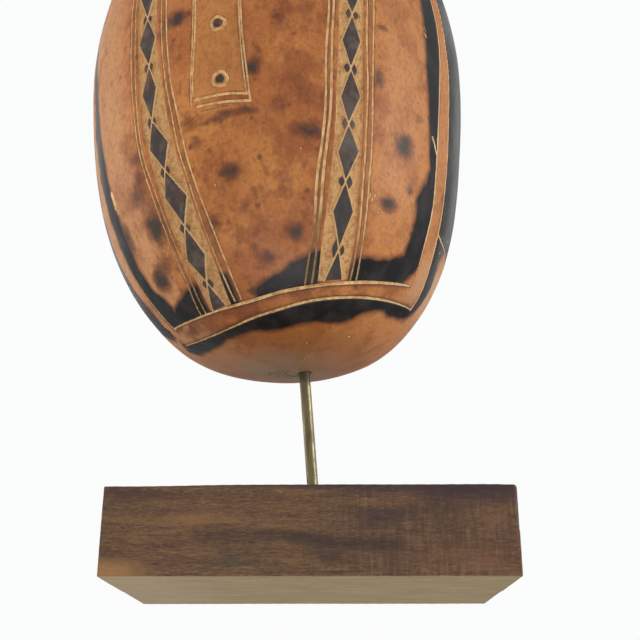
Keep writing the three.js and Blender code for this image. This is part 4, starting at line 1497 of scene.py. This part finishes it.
def cut_lines(tex, cut, side, height):
    """The mask and colour of the cut lines."""
    mask = cut + tex.noise(size=0.5, detail=2, rough=0.6, shift=(4, 14, 5)).swing(0.20)
    mask = mask.ramp(over=(-0.07, 0.09))
    tone = tex.noise(size=1.6, rough=0.6, scale=(1, 1, 0.6), shift=(8, 18, 2))
    tone = tone.ramp(over=(0.34, 0.60)).mix(low=(0.575, 0.315, 0.120), high=(0.830, 0.545, 0.262))
    patches = tex.noise(size=6.5, detail=2, shift=(8, 8, 8)).ramp(over=(0.56, 0.70))
    tone = tone.tint(patches, amount=0.40, tone=(0.50, 0.225, 0.080))
    right = side.ramp(over=(50, 58), to=(0, 0.55))
    tone = tone.tint(right, tone=(0.800, 0.590, 0.360))
    deep = tex.attribute("depth").ramp(over=(0.30, 0.42))
    breaks = tex.noise(size=1.4, detail=2, scale=(1, 1, 0.5), shift=(2, 3, 5))
    deep = deep * breaks.ramp(over=(0.46, 0.58))
    tone = tone.tint(deep, amount=0.42, tone=(0.19, 0.088, 0.036))
    zigzag = tex.attribute("zigzag").ramp(over=(-0.16, 0.02))
    tone = tone.tint(zigzag, amount=0.60, tone=(0.60, 0.405, 0.190))
    # soot left low on the body: right band's left lines, the left band, right band's right lines
    hem = tex.attribute("strip").ramp(over=(-0.85, -0.55)) * height.ramp(over=(26, 20))
    sooty = side.ramp(over=(8, 11)) * side.ramp(over=(23, 19))
    sooty = sooty * (height.ramp(over=(38, 27)) * 0.66)
    left = side.ramp(over=(-21, -26)) * (height.ramp(over=(46, 34)) * 0.40)
    sooty = sooty.math("MAXIMUM", left)
    right = side.ramp(over=(26, 28)) * side.ramp(over=(36, 33))
    sooty = sooty.math("MAXIMUM", right * (height.ramp(over=(34, 24)) * 0.34))
    sooty = sooty * (1.0 - hem) * (1.0 - zigzag)
    return mask, tone.tint(sooty, tone=(0.165, 0.098, 0.046))


def skin_material():
    tex = Graph("carved_gourd_skin")
    cloud = tex.noise(size=26, rough=0.55)
    patch = tex.noise(size=10, detail=4, rough=0.62, scale=(1, 1, 0.8), shift=(40, 7, 3))
    blotch = tex.noise(size=4.6, rough=0.6, scale=(1, 1, 0.85), shift=(11, 3, 70))
    fine = tex.noise(size=1.9, rough=0.6, scale=(1, 1, 0.6), shift=(3, 90, 5))
    side = tex.attribute("side")
    height = tex.attribute("height")
    color = bare_skin(tex, cloud, patch, blotch, fine, side, height)
    color, char = smoked_and_scorched(tex, color, patch, height)
    color = inked(tex, color, side, height)
    is_ground, ground_tone, fibre = lowered_ground(tex, side)
    cut = tex.attribute("cut")
    # painted shade along the cut lines' edges
    color = shade_painted_on_edges(tex, color, cut, height)
    color = color.tint(is_ground, tone=ground_tone)
    is_cut, cut_tone = cut_lines(tex, cut, side, height)
    color = color.tint(is_cut, tone=cut_tone)
    scratch = tex.attribute("scratch").ramp(over=(-0.16, 0.08))
    color = color.tint(scratch, amount=0.75, tone=(0.085, 0.034, 0.017))
    # bare flesh at the finger holes' rims
    rim = (tex.attribute("rim") + fine.swing(0.3)).ramp(over=(0.12, 0.4))
    flesh = fibre.ramp(over=(0.35, 0.65)).mix(low=(0.42, 0.23, 0.095), high=(0.66, 0.45, 0.23))
    color = color.tint(rim, tone=flesh)

    carved = is_cut.math("MAXIMUM", is_ground)
    rough = char.mix_value(low=0.47 + patch.swing(0.22), high=0.38 + cloud.swing(0.2))
    rough = carved.mix_value(low=rough, high=0.85)
    relief = tex.noise(size=0.9, detail=4, rough=0.6, scale=(1, 1, 0.6))
    normal = tex.bump(relief, distance=0.05, strength=carved.mix_value(low=0.55, high=0.0))
    relief = tex.noise(size=0.42, rough=0.65, scale=(1.2, 1.2, 0.45))
    strength = carved.mix_value(low=0.0, high=0.8)
    normal = tex.bump(relief, distance=0.20, strength=strength, normal=normal)
    relief = tex.noise(size=6, rough=0.6)
    normal = tex.bump(relief, distance=0.25, strength=0.35, normal=normal)
    gloss = (char * side.ramp(over=(57, 66))).mix_value(low=0.34, high=0.10)
    return tex.finish({
        "Base Color": color, "Roughness": rough, "Normal": normal,
        "Specular IOR Level": carved.mix_value(low=gloss, high=0.15),
    })


def pith_material():
    tex = Graph("gourd_pith")
    broad = tex.noise(size=7, detail=4, rough=0.6)
    fibre = tex.noise(size=1.1, detail=4, rough=0.7, scale=(1, 1, 0.5))
    color = broad.ramp(over=(0.35, 0.65)).mix(low=(0.50, 0.33, 0.18), high=(0.70, 0.53, 0.34))
    color = color.tint(fibre.ramp(over=(0.5, 0.68)), amount=0.5, tone=(0.33, 0.20, 0.09))
    normal = tex.bump(fibre, distance=0.6, strength=0.8)
    return tex.finish({
        "Base Color": color, "Roughness": 0.9, "Normal": normal, "Specular IOR Level": 0.2,
    })


# ------------------------------------------------------------------ the block's material
HEART = (0.050, 0.031, 0.034)
STAINS = [  # on the front: x from, to, z from, to, softness, amount, tone
    (-40, 70, 24.0, 40, 2.0, 0.70, HEART),
    (6, 70, 22.6, 40, 3.5, 0.62, HEART),
    (30, 70, 20.4, 40, 4.0, 0.62, (0.052, 0.031, 0.036)),
    (-70, -45, 21.6, 40, 4.0, 0.50, (0.060, 0.036, 0.030)),
    (11, 26, 13.8, 18.6, 3.5, 0.62, (0.050, 0.034, 0.036)),
    (30.5, 36, 13.5, 22.0, 2.5, 0.55, (0.060, 0.034, 0.028)),
    (-31, 2, 9.4, 12.2, 3.0, 0.72, (0.054, 0.033, 0.026)),
    (-2, 26, 8.0, 11.2, 3.0, 0.78, (0.044, 0.029, 0.026)),
    (1, 11, 3.4, 7.8, 2.6, 0.60, (0.052, 0.033, 0.027)),
    (-41, -24, 14.6, 17.8, 3.5, 0.40, (0.300, 0.150, 0.062)),
    (36, 54, 3.0, 9.0, 5.0, 0.30, (0.190, 0.085, 0.046)),
    (-90, -48, -6, 3.8, 4.5, 0.85, (0.360, 0.182, 0.074)),
    (-27, -18.5, 1.8, 6.0, 2.6, 0.58, (0.085, 0.074, 0.044)),
]


def stained(tex, color, x, y, z, fine):
    """Adds heart streaks and stains, soft-edged, with wandering outlines."""
    wander_z = tex.noise(size=11, detail=4, rough=0.65, scale=(0.22, 1, 1), shift=(1, 7, 1))
    wander_z = wander_z.swing(5.5)
    wander_x = tex.noise(size=6, rough=0.6, shift=(41, 7, 1)).swing(9.0)
    z, x = z + wander_z, x + wander_x
    front_half = y.ramp(over=(-14, -30))
    veins = fine.ramp(over=(0.30, 0.56), to=(0.62, 1.0))
    for x0, x1, z0, z1, soft, amount, tone in STAINS:
        wide, tall = soft * 2.0, soft * 0.45
        mask = x.ramp(over=(x0 - wide, x0 + wide)) * x.fall(over=(x1 - wide, x1 + wide))
        rows = z.ramp(over=(z0 - tall, z0 + tall)) * z.fall(over=(z1 - tall, z1 + tall))
        color = color.tint(mask * rows * (front_half * veins), amount=amount, tone=tone)
    return color


def block_material():
    tex = Graph("walnut_block")
    x, y, z = tex.split(tex.mapped())
    # growth layers run along X and dip slightly; their section shows on the ends
    warp = tex.noise(size=60, detail=2, scale=(0.5, 1, 1)).swing(26)
    ripple = tex.noise(size=16, rough=0.55, scale=(0.16, 1, 1), shift=(5, 1, 2)).swing(5.0)
    layer = (z * 1.0 + y * 0.42) + (warp + ripple)
    layer = layer + x * 0.012
    cycle = (layer * 0.21).math("FRACT")
    ring = cycle.ramp(over=(0.0, 0.82)) * cycle.fall(over=(0.86, 1.0))
    streak = tex.noise(size=1.7, detail=5, rough=0.72, scale=(0.085, 1, 1), shift=(3, 3, 3))
    broad = tex.noise(size=9, detail=4, rough=0.65, scale=(0.14, 1, 1), shift=(13, 5, 40))
    fine = tex.noise(size=0.55, detail=4, rough=0.75, scale=(0.15, 1, 1), shift=(1, 1, 1))
    pores = tex.noise(size=0.42, detail=1, scale=(0.13, 1, 1), shift=(9, 5, 1))
    pores = pores.ramp(over=(0.665, 0.73))
    grit = tex.noise(size=0.34, rough=0.8, scale=(0.24, 1, 1), shift=(21, 4, 8))
    color = broad.ramp(over=(0.36, 0.66))
    color = color.mix(low=(0.190, 0.100, 0.044), high=(0.118, 0.062, 0.034))
    color = color.tint(ring, amount=0.45, tone=(0.092, 0.050, 0.031))
    color = color.tint(streak.ramp(over=(0.50, 0.70)), amount=0.70, tone=(0.066, 0.037, 0.027))
    color = color.tint(streak.fall(over=(0.28, 0.44)), amount=0.42, tone=(0.300, 0.165, 0.078))
    color = color.tint(fine.ramp(over=(0.50, 0.66)), amount=0.50, tone=(0.066, 0.037, 0.027))
    color = color.tint(fine.fall(over=(0.32, 0.47)), amount=0.36, tone=(0.310, 0.185, 0.095))
    color = color.tint(grit.ramp(over=(0.52, 0.66)), amount=0.50, tone=(0.052, 0.030, 0.023))
    color = color.tint(grit.fall(over=(0.34, 0.46)), amount=0.30, tone=(0.330, 0.200, 0.110))
    right = x.ramp(over=(-6, 24))
    # upright marks of the saw, and a mottle, on the right half
    marks = tex.noise(size=0.95, rough=0.6, scale=(1.0, 0.3, 0.10), shift=(60, 1, 1))
    dark, light = marks.ramp(over=(0.50, 0.62)), marks.fall(over=(0.36, 0.47))
    color = color.tint(dark * right, amount=0.34, tone=(0.060, 0.036, 0.028))
    color = color.tint(light * right, amount=0.24, tone=(0.270, 0.155, 0.088))
    mottle = tex.noise(size=7.5, rough=0.6, scale=(0.75, 1, 1), shift=(16, 1, 31))
    dark, light = mottle.ramp(over=(0.48, 0.62)), mottle.fall(over=(0.34, 0.46))
    color = color.tint(dark * right, amount=0.42, tone=(0.080, 0.045, 0.032))
    color = color.tint(light * right, amount=0.40, tone=(0.205, 0.092, 0.050))
    color = color.tint(pores, amount=0.55, tone=(0.040, 0.024, 0.018))
    color = stained(tex, color, x, y, z, fine)
    # the underside is left raw and paler
    geometry = tex.node("ShaderNodeNewGeometry")
    facing = tex.split(Signal(tex, geometry.outputs["Normal"]))
    below = facing[2].ramp(over=(-0.60, -0.85))
    raw = streak.ramp(over=(0.38, 0.62)).mix(low=(0.385, 0.288, 0.152), high=(0.292, 0.212, 0.106))
    raw = raw.tint(fine.ramp(over=(0.46, 0.64)), amount=0.42, tone=(0.225, 0.160, 0.088))
    raw = raw.tint(grit.fall(over=(0.34, 0.46)), amount=0.35, tone=(0.52, 0.42, 0.27))
    raw = raw.tint(x.ramp(over=(-22, -48), to=(0, 0.35)), tone=(0.46, 0.37, 0.24))
    color = color.tint(below, tone=raw)
    # end grain on the two ends
    is_end = facing[0].math("ABSOLUTE").ramp(over=(0.6, 0.85))
    end_tone = (ring * 0.75).mix(low=(0.135, 0.076, 0.044), high=(0.058, 0.032, 0.022))
    end_pores = tex.noise(size=0.5, detail=2, rough=0.6).ramp(over=(0.56, 0.66))
    end_tone = end_tone.tint(end_pores, amount=0.5, tone=(0.030, 0.018, 0.014))
    color = color.tint(is_end, tone=end_tone)
    # scuffed, slightly paler edges
    wear = Signal(tex, geometry.outputs["Pointiness"]).ramp(over=(0.515, 0.56))
    color = color.tint(wear, amount=0.45, tone=(0.33, 0.21, 0.115))
    rough = below.mix_value(low=0.48 + fine.swing(0.25), high=0.75)
    normal = tex.bump(fine, distance=0.09, strength=0.8)
    normal = tex.bump(pores * -1.0, distance=0.07, strength=0.8, normal=normal)
    sawn = tex.noise(size=0.8, rough=0.6, scale=(1.1, 0.2, 0.07), shift=(7, 7, 7))
    strength = right * y.ramp(over=(-33.0, -35.2)) * 0.8
    normal = tex.bump(sawn, distance=0.10, strength=strength, normal=normal)
    return tex.finish({
        "Base Color": color, "Roughness": rough, "Normal": normal, "Specular IOR Level": 0.3,
    })


# ------------------------------------------------------------------ brass, stem and seat
def brass_material():
    tex = Graph("tarnished_brass")
    drawn = tex.noise(size=2.2, rough=0.6, scale=(1, 1, 0.09))
    blot = tex.noise(size=3.0, detail=4, rough=0.65, scale=(1, 1, 0.35), shift=(4, 9, 1))
    tiny = tex.noise(size=0.35, rough=0.6, scale=(1, 1, 0.10))
    z = tex.split(tex.mapped())[2]
    # darker under the gourd, partly a dark collar where the rod enters and partly painted shade
    # from the gourd above; more tarnish at the foot
    collar = (z + blot.swing(4)).ramp(over=(64.0, 68.5)) * z.ramp(over=(80, 74))
    tarnish = drawn.ramp(over=(0.38, 0.64)) * 0.45 + blot.ramp(over=(0.48, 0.66)) * 0.45
    tarnish = (0.15 + tarnish).math("MAXIMUM", collar * 0.95)
    foot = (z + blot.swing(2.5)).ramp(over=(28.2, 26.0))
    tarnish = tarnish.math("MAXIMUM", foot * 0.85)
    return tex.finish({
        "Base Color": tarnish.mix(low=(0.50, 0.415, 0.235), high=(0.105, 0.088, 0.046)),
        "Metallic": tarnish.mix_value(low=1.0, high=0.55),
        "Roughness": tarnish.mix_value(low=0.26 + tiny.swing(0.16), high=0.55),
        "Normal": tex.bump(tiny, distance=0.03, strength=0.6),
    })


def stem_material():
    tex = Graph("dried_stem_wood")
    fibre = tex.noise(size=0.8, detail=4, rough=0.65, scale=(1.4, 1.4, 0.12))
    blot = tex.noise(size=5, rough=0.6)
    color = fibre.ramp(over=(0.36, 0.64)).mix(low=(0.115, 0.070, 0.036), high=(0.33, 0.225, 0.125))
    color = color.tint(blot.ramp(over=(0.48, 0.66)), amount=0.5, tone=(0.075, 0.045, 0.026))
    z = tex.split(tex.mapped())[2]
    cut_end = (z + blot.swing(1.5)).ramp(over=(428.5, 430.0))
    end_tone = tex.noise(size=0.9, rough=0.7).ramp(over=(0.4, 0.6))
    end_tone = end_tone.mix(low=(0.20, 0.13, 0.075), high=(0.52, 0.40, 0.25))
    color = color.tint(cut_end, amount=0.7, tone=end_tone)
    return tex.finish({
        "Base Color": color, "Roughness": 0.78, "Specular IOR Level": 0.25,
        "Normal": tex.bump(fibre, distance=0.3, strength=0.8),
    })


def seat_material():
    tex = Graph("seat_softwood")
    rings = tex.noise(size=2.4, rough=0.55, scale=(1, 1, 0.09))
    fibre = tex.noise(size=0.5, detail=4, rough=0.65, scale=(1, 1, 0.08))
    color = rings.ramp(over=(0.38, 0.62)).mix(low=(0.36, 0.23, 0.115), high=(0.55, 0.39, 0.22))
    color = color.tint(fibre.ramp(over=(0.5, 0.68)), amount=0.4, tone=(0.25, 0.15, 0.075))
    return tex.finish({
        "Base Color": color, "Roughness": 0.72, "Specular IOR Level": 0.3,
        "Normal": tex.bump(fibre, distance=0.15, strength=0.7),
    })


gourd.data.materials.append(skin_material())
gourd.data.materials.append(pith_material())
block.data.materials.append(block_material())
rod.data.materials.append(brass_material())
stem.data.materials.append(stem_material())
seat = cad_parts["rod_seat"]
softwood = seat_material()
# the loaded seat may come with slots or without
if seat.material_slots:
    for slot in seat.material_slots:
        slot.material = softwood
else:
    seat.data.materials.append(softwood)

# ------------------------------------------------------------------ floor, light, camera
BACKDROP = (0.965, 0.97, 0.975)
FLOOR_HALF, FLOOR_Z = 30, -0.0004  # metres


def floor_material():
    """Pale near the stand, glowing like the backdrop far off, clear from below."""
    tex = Graph("studio_floor")
    geometry = tex.node("ShaderNodeNewGeometry")
    clear = tex.node("ShaderNodeBsdfTransparent")
    tex.shader_mix = tex.node("ShaderNodeMixShader", {
        0: Signal(tex, geometry.outputs["Backfacing"]), 1: Signal(tex, tex.shader.outputs[0]),
        2: Signal(tex, clear.outputs[0]),
    })
    tex.tree.links.new(tex.shader_mix.outputs[0], tex.output.inputs[0])
    x, y, _ = tex.split(tex.mapped())
    far = (x * x + y * y).math("SQRT").ramp(over=(250, 900))
    pale = tex.noise(size=3, rough=0.6).mix(low=(0.80, 0.80, 0.79), high=(0.86, 0.86, 0.85))
    return tex.finish({
        "Base Color": far.mix(low=pale, high=(0.0, 0.0, 0.0)), "Roughness": 0.95,
        "Specular IOR Level": 0.0, "Emission Color": BACKDROP, "Emission Strength": far,
    })


floor_mesh = bpy.data.meshes.new("studio_floor")
floor_corners = [
    (x * FLOOR_HALF, y * FLOOR_HALF, FLOOR_Z) for x, y in ((-1, -1), (1, -1), (1, 1), (-1, 1))
]
floor_mesh.from_pydata(floor_corners, [], [(0, 1, 2, 3)])
floor = bpy.data.objects.new("studio_floor", floor_mesh)
floor.data.materials.append(floor_material())
bpy.context.scene.collection.objects.link(floor)
floor.visible_diffuse = floor.visible_glossy = False
floor.visible_transmission = floor.visible_shadow = False


def make_world():
    """The camera sees a plain backdrop; the room lights the scene, dimmer in reflections."""
    room_light, glossy_change = 0.60, -0.27
    world = bpy.data.worlds.new("studio")
    bpy.context.scene.world = world
    world.use_nodes = True
    nodes, links = world.node_tree.nodes, world.node_tree.links
    nodes.clear()
    output = nodes.new("ShaderNodeOutputWorld")
    seen, lit = nodes.new("ShaderNodeBackground"), nodes.new("ShaderNodeBackground")
    for background, color, strength in ((seen, BACKDROP, 1.0), (lit, (1, 1, 1), room_light)):
        background.inputs[0].default_value = (*color, 1)
        background.inputs[1].default_value = strength
    path, mixer = nodes.new("ShaderNodeLightPath"), nodes.new("ShaderNodeMixShader")
    links.new(path.outputs["Is Camera Ray"], mixer.inputs[0])
    links.new(lit.outputs[0], mixer.inputs[1])
    links.new(seen.outputs[0], mixer.inputs[2])
    links.new(mixer.outputs[0], output.inputs[0])
    dim = nodes.new("ShaderNodeMath")
    dim.operation = "MULTIPLY_ADD"
    links.new(path.outputs["Is Glossy Ray"], dim.inputs[0])
    dim.inputs[1].default_value, dim.inputs[2].default_value = glossy_change, room_light
    links.new(dim.outputs[0], lit.inputs[1])


LAMPS = [  # name, place, target, size, watts, colour, seen in reflections; metres
    ("left_window", (-1.35, -0.45, 1.0), (0, 0, 0.17), (0.9, 0.9), 11.0, (1, 0.985, 0.965), False),
    ("left_rim", (-1.5, 0.30, 0.35), (0, 0, 0.17), (0.5, 1.0), 2.0, (1.0, 0.99, 0.98), True),
    ("left_back", (-0.85, 1.15, 0.80), (0, 0, 0.17), (0.5, 1.0), 1.6, (0.98, 1.0, 1.0), True),
    ("right_back", (0.85, 1.15, 0.75), (0, 0, 0.17), (0.5, 1.2), 2.1, (0.98, 1.0, 1.0), True),
    ("low_back", (-0.1, 1.0, -1.1), (0, 0, 0.08), (1.0, 0.5), 1.6, (1.0, 1.0, 1.0), True),
    ("right_window", (1.42, -0.44, 0.40), (0, 0, 0.16), (0.7, 0.9), 8.8, (0.99, 0.99, 1.0), True),
    ("under", (0.0, -0.9, -0.9), (0, 0, 0.05), (0.9, 0.6), 4.6, (1.0, 1.0, 1.0), True),
    ("back", (0.3, 1.3, 0.9), (0, 0, 0.2), (1.2, 0.8), 7, (1.0, 1.0, 1.0), False),
]


def make_lamps():
    for name, place, target, size, watts, color, glossy in LAMPS:
        data = bpy.data.lights.new(name, "AREA")
        data.shape, data.energy, data.color = "RECTANGLE", watts, color
        data.size, data.size_y = size
        lamp = bpy.data.objects.new(name, data)
        lamp.location = place
        aim = Vector(target) - Vector(place)
        lamp.rotation_euler = aim.to_track_quat("-Z", "Y").to_euler()
        bpy.context.scene.collection.objects.link(lamp)
        lamp.visible_glossy = glossy


# The view takes world places to x right, y down and z ahead of the camera.
VIEW_TURNS = (-0.378466675, 0.00994158065, -0.00394116923)  # radians about x, y, z
VIEW_SHIFT = np.array([-0.002488165606, 0.083354272424, 0.30508438944])  # metres


def rotation(axis, angle):
    i, j = (axis + 1) % 3, (axis + 2) % 3
    matrix = np.eye(3)
    matrix[i, i] = matrix[j, j] = math.cos(angle)
    matrix[i, j], matrix[j, i] = -math.sin(angle), math.sin(angle)
    return matrix


def make_camera():
    turn_x, turn_y, turn_z = (rotation(axis, angle) for axis, angle in enumerate(VIEW_TURNS))
    level = np.array([[1, 0, 0], [0, 0, -1], [0, 1, 0.0]])
    view = turn_z @ turn_y @ turn_x @ level
    pose = np.eye(4)
    pose[:3, :3] = view.T @ np.diag([1.0, -1.0, -1.0])
    pose[:3, 3] = -view.T @ VIEW_SHIFT
    data = bpy.data.cameras.new("camera")
    data.lens, data.sensor_width, data.clip_start, data.clip_end = 55.99, 36.0, 0.01, 50
    camera = bpy.data.objects.new("camera", data)
    bpy.context.scene.collection.objects.link(camera)
    camera.matrix_world = Matrix(pose.tolist())
    bpy.context.scene.camera = camera


make_world()
make_lamps()
make_camera()
bpy.context.scene.view_settings.view_transform = "Standard"
bpy.context.scene.view_settings.look = "None"

bpy.context.view_layer.update()
